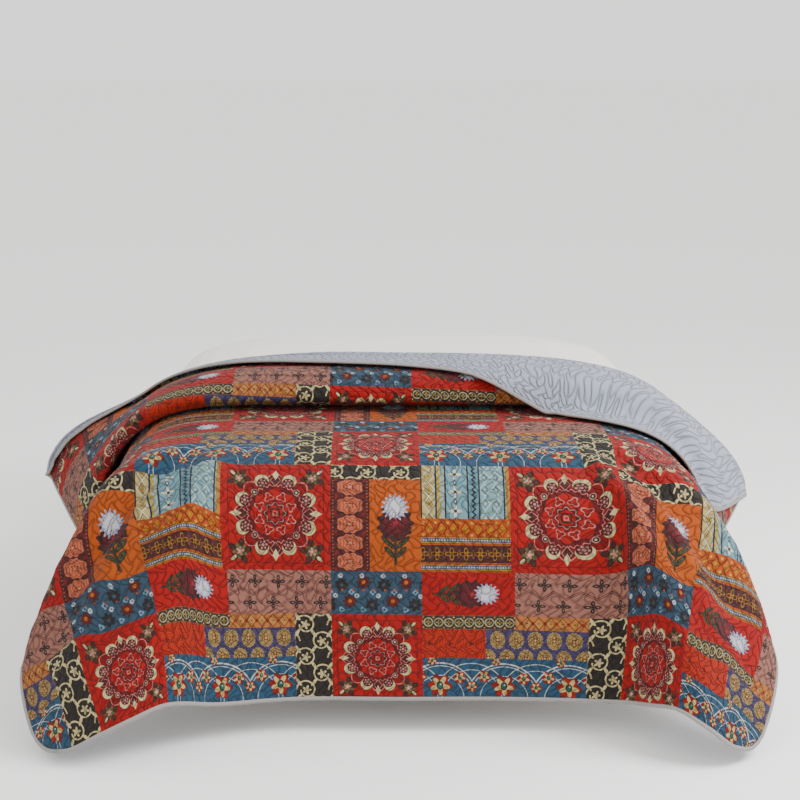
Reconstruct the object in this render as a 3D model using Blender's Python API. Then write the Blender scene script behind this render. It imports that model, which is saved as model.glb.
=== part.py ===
"""A quilted bedspread on a bed: one bound cloth that falls over the foot and the sides, and is folded back on
itself in a puffed roll with its head corner turned over, on a plain mattress and base.

Metres, +Z up. X runs across the bed, +Y towards its head. The origin is on the floor under the middle of the bed.
"""

import math

import bmesh
import bpy
import numpy as np

# The cloth, flat
CLOTH_WIDTH = 2.33
CLOTH_LENGTH = 2.56
CLOTH_THICKNESS = 0.006
CORNER_RADIUS = 0.08
QUILT_RELIEF = 0.0012

# The binding sewn over its raw edge
BINDING_WIDTH = 0.015
BINDING_THICKNESS = 0.0084
BINDING_GAP = 0.0028

# The bed under it
BASE_HALF_WIDTH = 0.73
MATTRESS_LENGTH = 2.00
MATTRESS_BOTTOM = 0.34
MATTRESS_CORNER = 0.17
BASE_INSET = 0.07
BASE_BOTTOM = 0.20
PLINTH_HALF_WIDTH = 0.48
PLINTH_INSET = 0.42
TOUCH_GAP = 0.0003
CLOTH_CLEARANCE = 0.015
CORNER_CLEARANCE = 0.032
# Where the mattress's outline is taken under the cloth: depths below the level top, and places round it
SHOULDER_DEPTHS = (0.024, 0.045, 0.08, 0.13, 0.20)
SIDE_SECTIONS = (-0.9, -0.6, -0.3, 0.0)
CORNER_ANGLES = (75, 60, 45, 30, 15)

# How the cloth lies. "Back" is measured towards the head from the plane of the hanging front
CLOTH_TOP = 0.73
MATTRESS_FOOT = 0.05
FRONT_Y = -MATTRESS_LENGTH / 2 - MATTRESS_FOOT
LEVEL_HALF_WIDTH = 0.45
LEVEL_START = 0.33
DROP_LENGTH = 0.82
HALF_WIDTH = CLOTH_WIDTH / 2

# Handles of the curve from the level top to the hem, as shares of its length
FRONT_HANDLES = (0.40, 0.49)
SIDE_HANDLES = (0.38, 0.39)

# Where the hem hangs, from the middle of the foot hem round one foot corner and up the side.
# along: flat distance from the middle of the foot hem. out, back, up: its place. lean: outward slope as it hangs
HEM_COLUMNS = ("along", "out", "back", "up", "lean")
LEFT_HEM = (
    (0.00, 0.000, 0.00, 0.105, 0.085),
    (0.28, 0.280, 0.00, 0.105, 0.10),
    (0.50, 0.475, -0.07, 0.120, 0.25),
    (0.71, 0.600, -0.165, 0.160, 0.45),
    (0.85, 0.690, -0.205, 0.135, 0.45),
    (0.95, 0.765, -0.215, 0.100, 0.45),
    (1.085, 0.870, -0.200, 0.045, 0.35),
    (1.21, 0.950, -0.130, 0.050, 0.30),
    (1.40, 1.000, -0.020, 0.200, 0.30),
    (1.52, 0.955, 0.060, 0.262, 0.28),
    (1.68, 0.915, 0.190, 0.290, 0.20),
    (1.85, 0.885, 0.340, 0.305, 0.14),
    (2.00, 0.880, 0.470, 0.305, 0.10),
    (2.15, 0.880, 0.610, 0.300, 0.08),
    (2.38, 0.885, 0.80, 0.300, 0.08),
    (2.80, 0.885, 1.18, 0.300, 0.08),
)
RIGHT_HEM = (
    (0.00, 0.000, 0.00, 0.105, 0.085),
    (0.30, 0.300, 0.00, 0.105, 0.085),
    (0.59, 0.585, -0.02, 0.105, 0.12),
    (0.72, 0.660, -0.10, 0.130, 0.35),
    (0.83, 0.717, -0.17, 0.149, 0.45),
    (0.95, 0.790, -0.21, 0.115, 0.45),
    (1.085, 0.868, -0.200, 0.055, 0.40),
    (1.21, 0.935, -0.140, 0.050, 0.30),
    (1.40, 0.995, -0.030, 0.190, 0.30),
    (1.52, 0.985, 0.050, 0.265, 0.28),
    (1.68, 0.945, 0.190, 0.295, 0.20),
    (1.85, 0.905, 0.340, 0.310, 0.14),
    (2.00, 0.885, 0.470, 0.308, 0.10),
    (2.15, 0.880, 0.610, 0.300, 0.08),
    (2.38, 0.885, 0.80, 0.300, 0.08),
    (2.80, 0.885, 1.18, 0.300, 0.08),
)

# The puffed roll that the folded cloth makes across the bed. It rests at ROLL_BACK
ROLL_BACK = 0.665
# across: place across the bed. turned: width of cloth turned over. ridge: how far the ridge lies behind the roll's
# front. rise: the ridge's height over the cloth that it lies on, as a share of ROLL_HEIGHT
ROLL_COLUMNS = ("across", "turned", "ridge", "rise")
ROLL = (
    (-1.165, 0.05, 0.34, 0.18),
    (-0.90, 0.05, 0.34, 0.36),
    (-0.70, 0.06, 0.31, 0.56),
    (-0.45, 0.11, 0.26, 0.86),
    (-0.20, 0.15, 0.22, 1.00),
    (0.00, 0.17, 0.21, 1.00),
    (0.20, 0.22, 0.20, 1.00),
    (0.40, 0.30, 0.19, 0.93),
    (0.60, 0.37, 0.18, 0.75),
    (0.80, 0.41, 0.18, 0.55),
    (1.165, 0.44, 0.24, 0.22),
)
ROLL_HEIGHT = 0.110
LAYER_STEP = 0.012
FOLD_REACH = 0.03
END_START = 0.75
END_OFFSET = 0.05
END_TILT = (0.55, 0.45)
FLAP_SKEW = 0.42

# Cells of the cloth's grid, from the foot hem to the head hem
CORNER_ROWS = (0.0, 0.012, 0.035, 0.08)
DROP_CELLS = 10
TOP_CELLS = 4
UNDER_CELLS = 5
LOOP_CELLS = 4
RETURN_CELLS = 5
ROLL_CELLS = 12
FLAP_CELLS = 9
LEVEL_CELLS = 9
SIDE_CELLS = 11


def clear_scene():
    """Remove every object the file opened with."""
    for thing in list(bpy.data.objects):
        bpy.data.objects.remove(thing, do_unlink=True)


def material(name, colour, roughness):
    """A plain Principled material."""
    made = bpy.data.materials.new(name)
    made.use_nodes = True
    shader = made.node_tree.nodes["Principled BSDF"]
    shader.inputs["Base Color"].default_value = (*colour, 1.0)
    shader.inputs["Roughness"].default_value = roughness
    shader.inputs["Metallic"].default_value = 0.0
    return made


def unit(vector):
    """The vector at length one."""
    return vector / max(float(np.linalg.norm(vector)), 1e-12)


def ease(x):
    """A soft step from 0 to 1 as x goes from 0 to 1."""
    x = min(max(x, 0.0), 1.0)
    return x * x * (3.0 - 2.0 * x)


def column(table, names, name):
    """One named column of a table."""
    return [row[names.index(name)] for row in table]


def smooth(x, xs, ys):
    """A smooth curve through the points (xs, ys), read at x."""
    x = min(max(x, xs[0]), xs[-1])
    k = min(max(int(np.searchsorted(xs, x)) - 1, 0), len(xs) - 2)

    def slope(i):
        low, high = max(i - 1, 0), min(i + 1, len(xs) - 1)
        return (ys[high] - ys[low]) / (xs[high] - xs[low])

    step = xs[k + 1] - xs[k]
    t = (x - xs[k]) / step
    start, end = slope(k) * step, slope(k + 1) * step
    rise = ys[k + 1] - ys[k]
    return ys[k] + start * t + (3 * rise - 2 * start - end) * t * t + (start + end - 2 * rise) * t**3


def hem_at(side, along):
    """Where the hem hangs on one side, and its outward slope."""
    table = LEFT_HEM if side < 0 else RIGHT_HEM
    stops = column(table, HEM_COLUMNS, "along")
    out, back, up, lean = (
        smooth(along, stops, column(table, HEM_COLUMNS, name)) for name in ("out", "back", "up", "lean")
    )
    return np.array([side * out, back, up]), lean


def hanging_curve(start, hem, heading, lean, length, handles, share):
    """The point at a share of the way along the curve on which the cloth goes from the level top to its hem."""
    falling = unit(np.array([heading[0] * lean, heading[1] * lean, -1.0]))
    t = np.linspace(0.0, 1.0, 25)[:, None]

    def curve(scale):
        first = start + heading * handles[0] * length * scale
        second = hem - falling * handles[1] * length * scale
        return (
            (1 - t) ** 3 * start + 3 * (1 - t) ** 2 * t * first + 3 * (1 - t) * t**2 * second + t**3 * hem
        )

    low, high = 0.2, 1.25
    for _ in range(12):
        middle = (low + high) / 2
        steps = np.linalg.norm(np.diff(curve(middle), axis=0), axis=1)
        if steps.sum() < length:
            low = middle
        else:
            high = middle
    points = curve(low)
    far = np.concatenate([[0.0], np.cumsum(np.linalg.norm(np.diff(points, axis=0), axis=1))])
    place = share * far[-1]
    return np.array([np.interp(place, far, points[:, axis]) for axis in range(3)])


def hem_distance(angle):
    """For a ray over a foot corner, at this angle from straight down to the foot: how far it runs to the edge of
    the flat cloth, and how far along the hem that is."""
    reach, drop, radius = HALF_WIDTH - LEVEL_HALF_WIDTH, DROP_LENGTH, CORNER_RADIUS
    s, c = math.sin(angle), math.cos(angle)
    foot = drop / c if c > 1e-6 else math.inf
    if foot * s <= reach - radius:
        return foot, LEVEL_HALF_WIDTH + foot * s
    side = reach / s
    if side * c <= drop - radius:
        return side, HALF_WIDTH - radius + math.pi / 2 * radius + (drop - side * c) - radius
    middle = (reach - radius) * s + (drop - radius) * c
    apart = (reach - radius) ** 2 + (drop - radius) ** 2
    far = middle + math.sqrt(middle * middle - apart + radius * radius)
    turn = math.atan2(far * s - (reach - radius), far * c - (drop - radius))
    return far, HALF_WIDTH - radius + radius * turn


def lying(across, down):
    """A point of the bottom layer. across: flat distance from the middle. down: flat distance from the start of
    the level top towards the foot hem, negative towards the head."""
    side = -1.0 if across < 0 else 1.0
    over = abs(across) - LEVEL_HALF_WIDTH
    if down <= 0 and over <= 0:
        return np.array([across, LEVEL_START - down, CLOTH_TOP])
    if down <= 0:
        back = LEVEL_START - down
        start = np.array([side * LEVEL_HALF_WIDTH, back, CLOTH_TOP])
        corner = HALF_WIDTH - CORNER_RADIUS + math.pi / 2 * CORNER_RADIUS - CORNER_RADIUS
        hem, lean = hem_at(side, corner + DROP_LENGTH - down)
        length = HALF_WIDTH - LEVEL_HALF_WIDTH
        heading = np.array([side, 0.0, 0.0])
        return hanging_curve(start, hem, heading, lean, length, SIDE_HANDLES, over / length)
    if over <= 0:
        start = np.array([across, LEVEL_START, CLOTH_TOP])
        hem, lean = hem_at(side, abs(across))
        heading = np.array([0.0, -1.0, 0.0])
        return hanging_curve(start, hem, heading, lean, DROP_LENGTH, FRONT_HANDLES, down / DROP_LENGTH)
    angle = math.atan2(over, down)
    length, along = hem_distance(angle)
    hem, lean = hem_at(side, along)
    start = np.array([side * LEVEL_HALF_WIDTH, LEVEL_START, CLOTH_TOP])
    heading = np.array([side * math.sin(angle), -math.cos(angle), 0.0])
    turn = angle / (math.pi / 2)
    handles = [front + (to_side - front) * turn for front, to_side in zip(FRONT_HANDLES, SIDE_HANDLES)]
    share = min(math.hypot(over, down) / length, 1.0)
    return hanging_curve(start, hem, heading, lean, length, handles, share)


def bed_normal(across):
    """The direction straight out of the bottom layer under the roll."""
    step = 0.01
    run = lying(across + step, LEVEL_START - ROLL_BACK) - lying(across - step, LEVEL_START - ROLL_BACK)
    return unit(np.array([-run[2], 0.0, run[0]]))


def roll_at(name, across):
    """A column of the roll's table, read across the bed."""
    return smooth(across, column(ROLL, ROLL_COLUMNS, "across"), column(ROLL, ROLL_COLUMNS, name))


def roll_place(across, back, height, lifted):
    """A point over the bottom layer, this far behind the roll's front. The roll's ends tip outwards."""
    side = -1.0 if across < 0 else 1.0
    end = ease((abs(across) - END_START) / (HALF_WIDTH - END_START))
    normal = bed_normal(across)
    if lifted <= 0 or back <= 0:
        base = lying(across, LEVEL_START - ROLL_BACK - back)
        settled = ease(1.0 - abs(back) / 0.4)
        return base + normal * (height + END_OFFSET * end * settled)
    base = lying(across, LEVEL_START - ROLL_BACK) + normal * END_OFFSET * end
    tilt = end * lifted
    along = unit(np.array([side * END_TILT[0] * tilt, 1.0, END_TILT[1] * tilt]))
    return base + along * back + normal * height


def roll_section(across):
    """The section of the roll, as (back, height, lifted): round its front, over its top, round the ridge and on
    over the turned part, which ends on the bottom layer where it is long enough."""
    rise = roll_at("rise", across)
    ridge = roll_at("ridge", across)
    top = LAYER_STEP + (ROLL_HEIGHT - LAYER_STEP) * rise
    puff = 0.052 * rise
    behind = ease((ridge - 0.22) / 0.12)
    back_of_ridge = top - 0.7 * behind * (top - 2 * LAYER_STEP)
    over = LAYER_STEP * 1.5
    front = (
        (0.07, LAYER_STEP, 0.0),
        (0.02, LAYER_STEP * 1.05, 0.5),
        (-puff * 0.7, LAYER_STEP + (top - LAYER_STEP) * 0.22, 1.0),
        (-puff, LAYER_STEP + (top - LAYER_STEP) * 0.5, 1.0),
        (-puff * 0.45, LAYER_STEP + (top - LAYER_STEP) * 0.86, 1.0),
        (0.035, top, 1.0),
        (0.11, top + 0.002, 1.0),
        (ridge - FOLD_REACH, (top + back_of_ridge) / 2, 1.0),
    )
    fold = (
        (ridge - 0.006, back_of_ridge + 0.001, 1.0),
        (ridge, back_of_ridge + over * 0.5, 1.0),
        (ridge - 0.006, back_of_ridge + over, 1.0),
    )
    flap = (
        (ridge - FOLD_REACH, (top + back_of_ridge) / 2 + over, 1.0),
        (0.11, top + 0.002 + over, 1.0),
        (0.035, top + over, 1.0),
        (-puff * 0.45 - over * 0.75, LAYER_STEP + (top - LAYER_STEP) * 0.90 + over * 0.55, 1.0),
        (-puff - over * 1.1, LAYER_STEP + (top - LAYER_STEP) * 0.5, 1.0),
        (-puff - over * 1.8, over + (top - LAYER_STEP) * 0.16, 1.0),
        (-puff - 0.05, over, 1.0),
        (-puff - 0.15, over, 1.0),
        (-puff - 0.30, over, 1.0),
        (-puff - 0.45, over, 1.0),
    )
    return front, fold, flap


def dense(nodes, steps=6):
    """A smooth path through nodes."""
    nodes = np.array(nodes, dtype=float)
    path = [nodes[0]]
    for k in range(len(nodes) - 1):
        before, first = nodes[max(k - 1, 0)], nodes[k]
        second, after = nodes[k + 1], nodes[min(k + 2, len(nodes) - 1)]
        for step in range(1, steps + 1):
            t = step / steps
            path.append(
                0.5
                * (
                    2 * first
                    + (second - before) * t
                    + (2 * before - 5 * first + 4 * second - after) * t * t
                    + (3 * first - before - 3 * second + after) * t**3
                )
            )
    return np.array(path)


def path_length(path):
    """How long a path is at each of its points."""
    steps = np.linalg.norm(np.diff(path, axis=0), axis=1)
    return np.concatenate([[0.0], np.cumsum(steps)])


def resample(path, cells, upto=None):
    """The path at even steps, as far as a length along it."""
    far = path_length(path)
    places = np.linspace(0.0, far[-1] if upto is None else min(upto, far[-1]), cells + 1)
    return np.array([[np.interp(place, far, path[:, axis]) for axis in range(path.shape[1])] for place in places])


def edge_half_width(from_edge):
    """Half the flat cloth's width at a distance from an end, where its corners are rounded."""
    if from_edge >= CORNER_RADIUS:
        return HALF_WIDTH
    rest = CORNER_RADIUS - from_edge
    return HALF_WIDTH - CORNER_RADIUS + math.sqrt(CORNER_RADIUS**2 - rest**2)


def drawn_in(across, from_edge):
    """A column's place where the rounded corner narrows the cloth."""
    keep = HALF_WIDTH - 3 * CORNER_RADIUS
    if abs(across) <= keep:
        return across
    share = (abs(across) - keep) / (HALF_WIDTH - keep)
    return math.copysign(keep + share * (edge_half_width(from_edge) - keep), across)


def turned_path(across):
    """The section from the roll's top round the ridge and over the turned part: how far along it the ridge's
    crease is, the path, and how long it is at each point."""
    front, fold, flap = roll_section(across)
    path = dense((front[-1], *fold, *flap))
    far = path_length(path[:, :2])
    crease = int(np.argmin(np.linalg.norm(path - np.array(fold[1]), axis=1)))
    return far[crease], path, far


def cloth_column(across):
    """The cloth's points along one column, from the foot hem to the head hem."""
    points = []
    drops = list(CORNER_ROWS) + list(np.linspace(CORNER_ROWS[-1], DROP_LENGTH, DROP_CELLS + 1)[1:])
    for hem in drops:
        points.append(lying(drawn_in(across, hem), DROP_LENGTH - hem))
    for back in np.linspace(LEVEL_START, ROLL_BACK, TOP_CELLS + 1)[1:]:
        points.append(lying(across, LEVEL_START - back))

    front, fold, flap = roll_section(across)
    turned = roll_at("turned", across)
    over_roll = dense(front)
    round_ridge = dense((front[-1], *fold, flap[0]))
    rest = path_length(over_roll[:, :2])[-1] - front[0][0] + path_length(round_ridge[:, :2])[-1] / 2 + turned
    loop = 2 * LAYER_STEP
    fold_back = (CLOTH_LENGTH - DROP_LENGTH - loop - rest + LEVEL_START + ROLL_BACK) / 2 - ROLL_BACK

    under = [(back, 0.0, 0.0) for back in np.linspace(0.0, fold_back - FOLD_REACH, UNDER_CELLS + 1)[1:]]
    bend = dense(
        (
            (fold_back - FOLD_REACH, 0.0, 0.0),
            (fold_back - 0.006, -0.001, 0.0),
            (fold_back, LAYER_STEP / 2, 0.0),
            (fold_back - 0.006, LAYER_STEP, 0.0),
            (fold_back - FOLD_REACH, LAYER_STEP, 0.0),
        )
    )
    returned = [
        (back, LAYER_STEP, 0.0)
        for back in np.linspace(fold_back - FOLD_REACH, front[0][0], RETURN_CELLS + 1)[1:]
    ]
    for place in (*under, *resample(bend, LOOP_CELLS)[1:], *returned, *resample(over_roll, ROLL_CELLS)[1:]):
        points.append(roll_place(across, *place))

    around, _, _ = turned_path(across)
    skew = FLAP_SKEW * ease(across / 1.1)
    fold_stops = list(np.linspace(-around, 2.5 * LAYER_STEP, LOOP_CELLS + 1)[1:])
    head_rows = [max(turned, 3.5 * LAYER_STEP) - hem for hem in reversed(CORNER_ROWS)]
    middle_end = max(head_rows[0], fold_stops[-1] + 0.006)
    middle = list(np.linspace(fold_stops[-1], middle_end, FLAP_CELLS - len(CORNER_ROWS) + 1)[1:])
    last = [max(stop, middle_end + 0.004 * (k + 1)) for k, stop in enumerate(head_rows[1:])]
    for stop in (*fold_stops, *middle, *last):
        shifted = drawn_in(across, max(last[-1] - stop, 0.0)) - skew * max(stop, 0.0)
        before, whole, far = turned_path(shifted)
        place = [np.interp(before + stop, far, whole[:, axis]) for axis in range(3)]
        points.append(roll_place(shifted, *place))
    return points


def cloth_grid():
    """The middle of the cloth as a grid, [row from foot to head][column from left to right]."""
    level = np.linspace(-LEVEL_HALF_WIDTH, LEVEL_HALF_WIDTH, LEVEL_CELLS + 1)
    right = np.linspace(LEVEL_HALF_WIDTH, HALF_WIDTH, SIDE_CELLS + 1)[1:]
    columns = [*(-right[::-1]), *level, *right]
    grid = np.array([cloth_column(across) for across in columns]).transpose(1, 0, 2)
    grid[:, :, 1] += FRONT_Y
    return grid


def grid_normals(grid):
    """The direction out of the printed face at each point."""
    along = np.gradient(grid, axis=0)
    across = np.gradient(grid, axis=1)
    normals = np.cross(across, along)
    return normals / np.linalg.norm(normals, axis=2, keepdims=True)


def mesh_object(name, vertices, faces, look, soft=False):
    """An object from points and faces."""
    mesh = bpy.data.meshes.new(name)
    mesh.from_pydata([tuple(point) for point in vertices], [], faces)
    mesh.materials.append(look)
    if soft:
        mesh.shade_smooth()
    made = bpy.data.objects.new(name, mesh)
    bpy.context.scene.collection.objects.link(made)
    return made


def edge_walk(rows, columns):
    """The grid's edge points in order, seen from the printed face."""
    walk = [(0, j) for j in range(columns)]
    walk += [(i, columns - 1) for i in range(1, rows)]
    walk += [(rows - 1, j) for j in range(columns - 2, -1, -1)]
    walk += [(i, 0) for i in range(rows - 2, 0, -1)]
    return walk


def make_bedspread(grid, normals):
    """The quilted cloth as one closed sheet, low puffs raised on its printed face."""
    rows, columns = grid.shape[:2]
    puffs = np.fromfunction(lambda i, j: (i + j) % 2, (rows, columns))
    puffs[0, :] = puffs[-1, :] = puffs[:, 0] = puffs[:, -1] = 0
    half = CLOTH_THICKNESS / 2
    face = grid + normals * (half + QUILT_RELIEF * puffs)[:, :, None]
    back = grid - normals * half
    vertices = np.concatenate([face.reshape(-1, 3), back.reshape(-1, 3)])
    count = rows * columns
    faces = []
    for i in range(rows - 1):
        for j in range(columns - 1):
            a, b, c, d = (i * columns + j, i * columns + j + 1, (i + 1) * columns + j + 1, (i + 1) * columns + j)
            faces.append((a, b, c, d))
            faces.append((a + count, d + count, c + count, b + count))
    walk = [i * columns + j for i, j in edge_walk(rows, columns)]
    for a, b in zip(walk, walk[1:] + walk[:1]):
        faces.append((b, a, a + count, b + count))
    look = material("printed_quilted_cotton", (0.56, 0.10, 0.05), 0.9)
    return mesh_object("bedspread", vertices, faces, look)


def make_binding(grid, normals):
    """The narrow strip round the cloth's edge, a soft bar just outside it."""
    rows, columns = grid.shape[:2]
    walk = edge_walk(rows, columns)
    half = BINDING_THICKNESS / 2
    profile = (
        (BINDING_GAP, half),
        (BINDING_GAP + BINDING_WIDTH * 0.7, half),
        (BINDING_GAP + BINDING_WIDTH, half * 0.4),
        (BINDING_GAP + BINDING_WIDTH, -half * 0.4),
        (BINDING_GAP + BINDING_WIDTH * 0.7, -half),
        (BINDING_GAP, -half),
    )
    vertices = []
    for k, (i, j) in enumerate(walk):
        before, after = grid[walk[k - 1]], grid[walk[(k + 1) % len(walk)]]
        run = unit(unit(after - grid[i, j]) + unit(grid[i, j] - before))
        out = unit(np.cross(run, normals[i, j]))
        for aside, height in profile:
            vertices.append(grid[i, j] + out * aside + normals[i, j] * height)
    sides, count = len(profile), len(walk)
    faces = []
    for k in range(count):
        here, there = k * sides, (k + 1) % count * sides
        for m in range(sides):
            n = (m + 1) % sides
            faces.append((here + m, here + n, there + n, there + m))
    look = material("bound_cotton_edge", (0.35, 0.32, 0.30), 0.9)
    return mesh_object("binding", vertices, faces, look)


def rounded_ring(half_width, low_y, high_y, radius, height, steps=6):
    """Points round an upright rounded rectangle."""
    ring = []
    corners = ((1, high_y, 0), (-1, high_y, 90), (-1, low_y, 180), (1, low_y, 270))
    for side, y, first in corners:
        centre_y = y - radius if y == high_y else y + radius
        for step in range(steps + 1):
            angle = math.radians(first + 90 * step / steps)
            x = side * (half_width - radius) + radius * math.cos(angle)
            ring.append((x, centre_y + radius * math.sin(angle), height))
    return ring


def stacked_rings(name, rings, look, soft=False):
    """A closed body from rings of points, bottom first."""
    count = len(rings[0])
    vertices = [point for ring in rings for point in ring]
    faces = [tuple(range(count - 1, -1, -1))]
    for level in range(len(rings) - 1):
        for k in range(count):
            a, b = level * count + k, level * count + (k + 1) % count
            faces.append((a, b, b + count, a + count))
    faces.append(tuple(range((len(rings) - 1) * count, len(rings) * count)))
    return mesh_object(name, vertices, faces, look, soft)


def under_cloth(across, down, heading, clearance=0.0):
    """Points close under the cloth, at each of the mattress's depths, where it falls from the level part's edge
    towards a hem. heading: the flat direction across and down. clearance: how much more room to leave."""
    reach = np.linspace(0.0, 0.6, 31)
    falls = np.array([lying(across + heading[0] * s, down + heading[1] * s) for s in reach])
    start = falls[0, :2]
    points = []
    for depth in SHOULDER_DEPTHS:
        place = np.array([np.interp(depth - 0.7 * clearance, CLOTH_TOP - falls[:, 2], falls[:, axis]) for axis in (0, 1)])
        inward = min(CLOTH_CLEARANCE + clearance, 0.8 * float(np.linalg.norm(place - start)))
        points.append(place - unit(place - start) * inward)
    return points


def make_mattress():
    """A plain plump mattress: its foot and sides lie close under the cloth, and its head has large soft corners."""
    sections = [under_cloth(-LEVEL_HALF_WIDTH, down, (-1.0, 0.0)) for down in SIDE_SECTIONS]
    for angle in CORNER_ANGLES:
        turn = math.radians(angle)
        heading = (-math.sin(turn), math.cos(turn))
        sections.append(under_cloth(-LEVEL_HALF_WIDTH - 0.001, 0.001, heading, CORNER_CLEARANCE))
    for across in (-LEVEL_HALF_WIDTH, -LEVEL_HALF_WIDTH / 3, LEVEL_HALF_WIDTH / 3, LEVEL_HALF_WIDTH):
        sections.append(under_cloth(across, 0.001, (0.0, 1.0), CORNER_CLEARANCE * abs(across) / LEVEL_HALF_WIDTH))
    for angle in reversed(CORNER_ANGLES):
        turn = math.radians(angle)
        heading = (math.sin(turn), math.cos(turn))
        sections.append(under_cloth(LEVEL_HALF_WIDTH + 0.001, 0.001, heading, CORNER_CLEARANCE))
    for down in reversed(SIDE_SECTIONS):
        sections.append(under_cloth(LEVEL_HALF_WIDTH, down, (1.0, 0.0)))

    def outline(level, tuck, height):
        ring = []
        half = sections[-1][level][0] - tuck
        end = MATTRESS_LENGTH / 2 - (sections[-1][-1][0] - sections[-1][level][0]) * 0.8 - tuck
        for side, first in ((1, 0), (-1, 90)):
            for step in range(5):
                angle = math.radians(first + 90 * step / 4)
                x = side * (half - MATTRESS_CORNER) + MATTRESS_CORNER * math.cos(angle)
                ring.append((x, end - MATTRESS_CORNER + MATTRESS_CORNER * math.sin(angle), height))
        for section in sections:
            x, back = section[level]
            ring.append((x - math.copysign(tuck, x), back + FRONT_Y + tuck, height))
        return ring

    last = len(SHOULDER_DEPTHS) - 1
    rings = [
        outline(last, 0.03, MATTRESS_BOTTOM),
        outline(last, 0.004, MATTRESS_BOTTOM + 0.03),
        *(outline(level, 0.0, CLOTH_TOP - CLOTH_CLEARANCE - SHOULDER_DEPTHS[level]) for level in range(last, -1, -1)),
    ]
    top = CLOTH_TOP - CLOTH_THICKNESS / 2 - 0.006
    middle_y = (min(point[1] for point in rings[-1]) + max(point[1] for point in rings[-1])) / 2
    rings.append([(x * 0.80, middle_y + (y - middle_y) * 0.9, top) for x, y, _ in rings[-1]])
    look = material("white_mattress_cover", (0.86, 0.86, 0.84), 0.95)
    return stacked_rings("mattress", rings, look, soft=True)


def make_bed_base():
    """A plain platform on a plinth that is set well back, down to the floor."""
    half, length = BASE_HALF_WIDTH, MATTRESS_LENGTH / 2 - BASE_INSET
    plinth = MATTRESS_LENGTH / 2 - PLINTH_INSET
    rings = [
        rounded_ring(PLINTH_HALF_WIDTH, -plinth, plinth, 0.03, 0.0, 2),
        rounded_ring(PLINTH_HALF_WIDTH, -plinth, plinth, 0.03, BASE_BOTTOM, 2),
        rounded_ring(half, -length, length, 0.06, BASE_BOTTOM, 2),
        rounded_ring(half, -length, length, 0.06, MATTRESS_BOTTOM - TOUCH_GAP, 2),
    ]
    look = material("painted_bed_base", (0.62, 0.60, 0.57), 0.6)
    return stacked_rings("bed_base", rings, look)


def main():
    clear_scene()
    grid = cloth_grid()
    normals = grid_normals(grid)
    make_bedspread(grid, normals)
    make_binding(grid, normals)
    make_mattress()
    make_bed_base()


if __name__ == "__main__":
    main()
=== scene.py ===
"""The looks of a quilted patchwork-print bedspread on a plain bed: its printed face, stitched relief, reverse and
binding, a plain white mattress cover, and a pale studio."""

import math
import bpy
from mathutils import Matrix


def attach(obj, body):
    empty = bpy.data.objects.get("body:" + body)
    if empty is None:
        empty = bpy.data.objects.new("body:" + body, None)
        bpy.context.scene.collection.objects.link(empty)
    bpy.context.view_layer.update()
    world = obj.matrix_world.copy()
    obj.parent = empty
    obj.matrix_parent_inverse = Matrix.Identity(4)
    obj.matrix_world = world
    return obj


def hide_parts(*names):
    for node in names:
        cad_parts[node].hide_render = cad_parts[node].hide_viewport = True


bl_info = {
    "name": "Quilted bedspread on a bed",
    "version": (1, 0, 0),
    "blender": (4, 5, 0),
    "location": "3D View > Sidebar > Bedspread",
    "description": "Makes a printed, quilted bedspread that lies over a plain bed",
    "category": "Object",
}

import bpy
import numpy as np
from bpy.props import FloatProperty, FloatVectorProperty, PointerProperty
from mathutils import Vector

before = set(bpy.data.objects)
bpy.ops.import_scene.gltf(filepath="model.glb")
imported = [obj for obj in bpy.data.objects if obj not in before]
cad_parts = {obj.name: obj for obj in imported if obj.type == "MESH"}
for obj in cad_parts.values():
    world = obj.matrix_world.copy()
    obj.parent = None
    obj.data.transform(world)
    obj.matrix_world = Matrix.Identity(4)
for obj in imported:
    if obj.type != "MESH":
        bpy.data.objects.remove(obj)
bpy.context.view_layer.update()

MM = 0.001
# The sine and the cosine of 45 degrees
EIGHTH_TURN = 0.7071
# Whole repeats that are added to a place on the print, because a modulo is right above zero alone
SPARE_REPEATS = 40
SPARE_TILES = 4

# Where the cloth comes to lie, in metres. These repeat the part's own values. A hem row is a place along the hem,
# how far out, back and up it hangs, and its slope. A roll row is a place across the bed, how much cloth is turned
# over, how far back the ridge is, and how high the roll stands as a share of ROLL_HEIGHT
CLOTH_WIDTH = 2.33
CLOTH_LENGTH = 2.56
CORNER_RADIUS = 0.08
CLOTH_TOP = 0.73
FRONT_Y = -1.05
LEVEL_HALF_WIDTH = 0.45
LEVEL_START = 0.33
DROP_LENGTH = 0.82
HALF_WIDTH = CLOTH_WIDTH / 2
FRONT_HANDLES = (0.40, 0.49)
SIDE_HANDLES = (0.38, 0.39)
HEM_COLUMNS = ("along", "out", "back", "up", "lean")
# Both sides hang alike near the head
HEAD_HEM = (
    (2.15, 0.880, 0.610, 0.300, 0.08),
    (2.38, 0.885, 0.80, 0.300, 0.08),
    (2.80, 0.885, 1.18, 0.300, 0.08),
)
LEFT_HEM = (
    (0.00, 0.000, 0.00, 0.105, 0.085),
    (0.28, 0.280, 0.00, 0.105, 0.10),
    (0.50, 0.475, -0.07, 0.120, 0.25),
    (0.71, 0.600, -0.165, 0.160, 0.45),
    (0.85, 0.690, -0.205, 0.135, 0.45),
    (0.95, 0.765, -0.215, 0.100, 0.45),
    (1.085, 0.870, -0.200, 0.045, 0.35),
    (1.21, 0.950, -0.130, 0.050, 0.30),
    (1.40, 1.000, -0.020, 0.200, 0.30),
    (1.52, 0.955, 0.060, 0.262, 0.28),
    (1.68, 0.915, 0.190, 0.290, 0.20),
    (1.85, 0.885, 0.340, 0.305, 0.14),
    (2.00, 0.880, 0.470, 0.305, 0.10),
    *HEAD_HEM,
)
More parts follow.
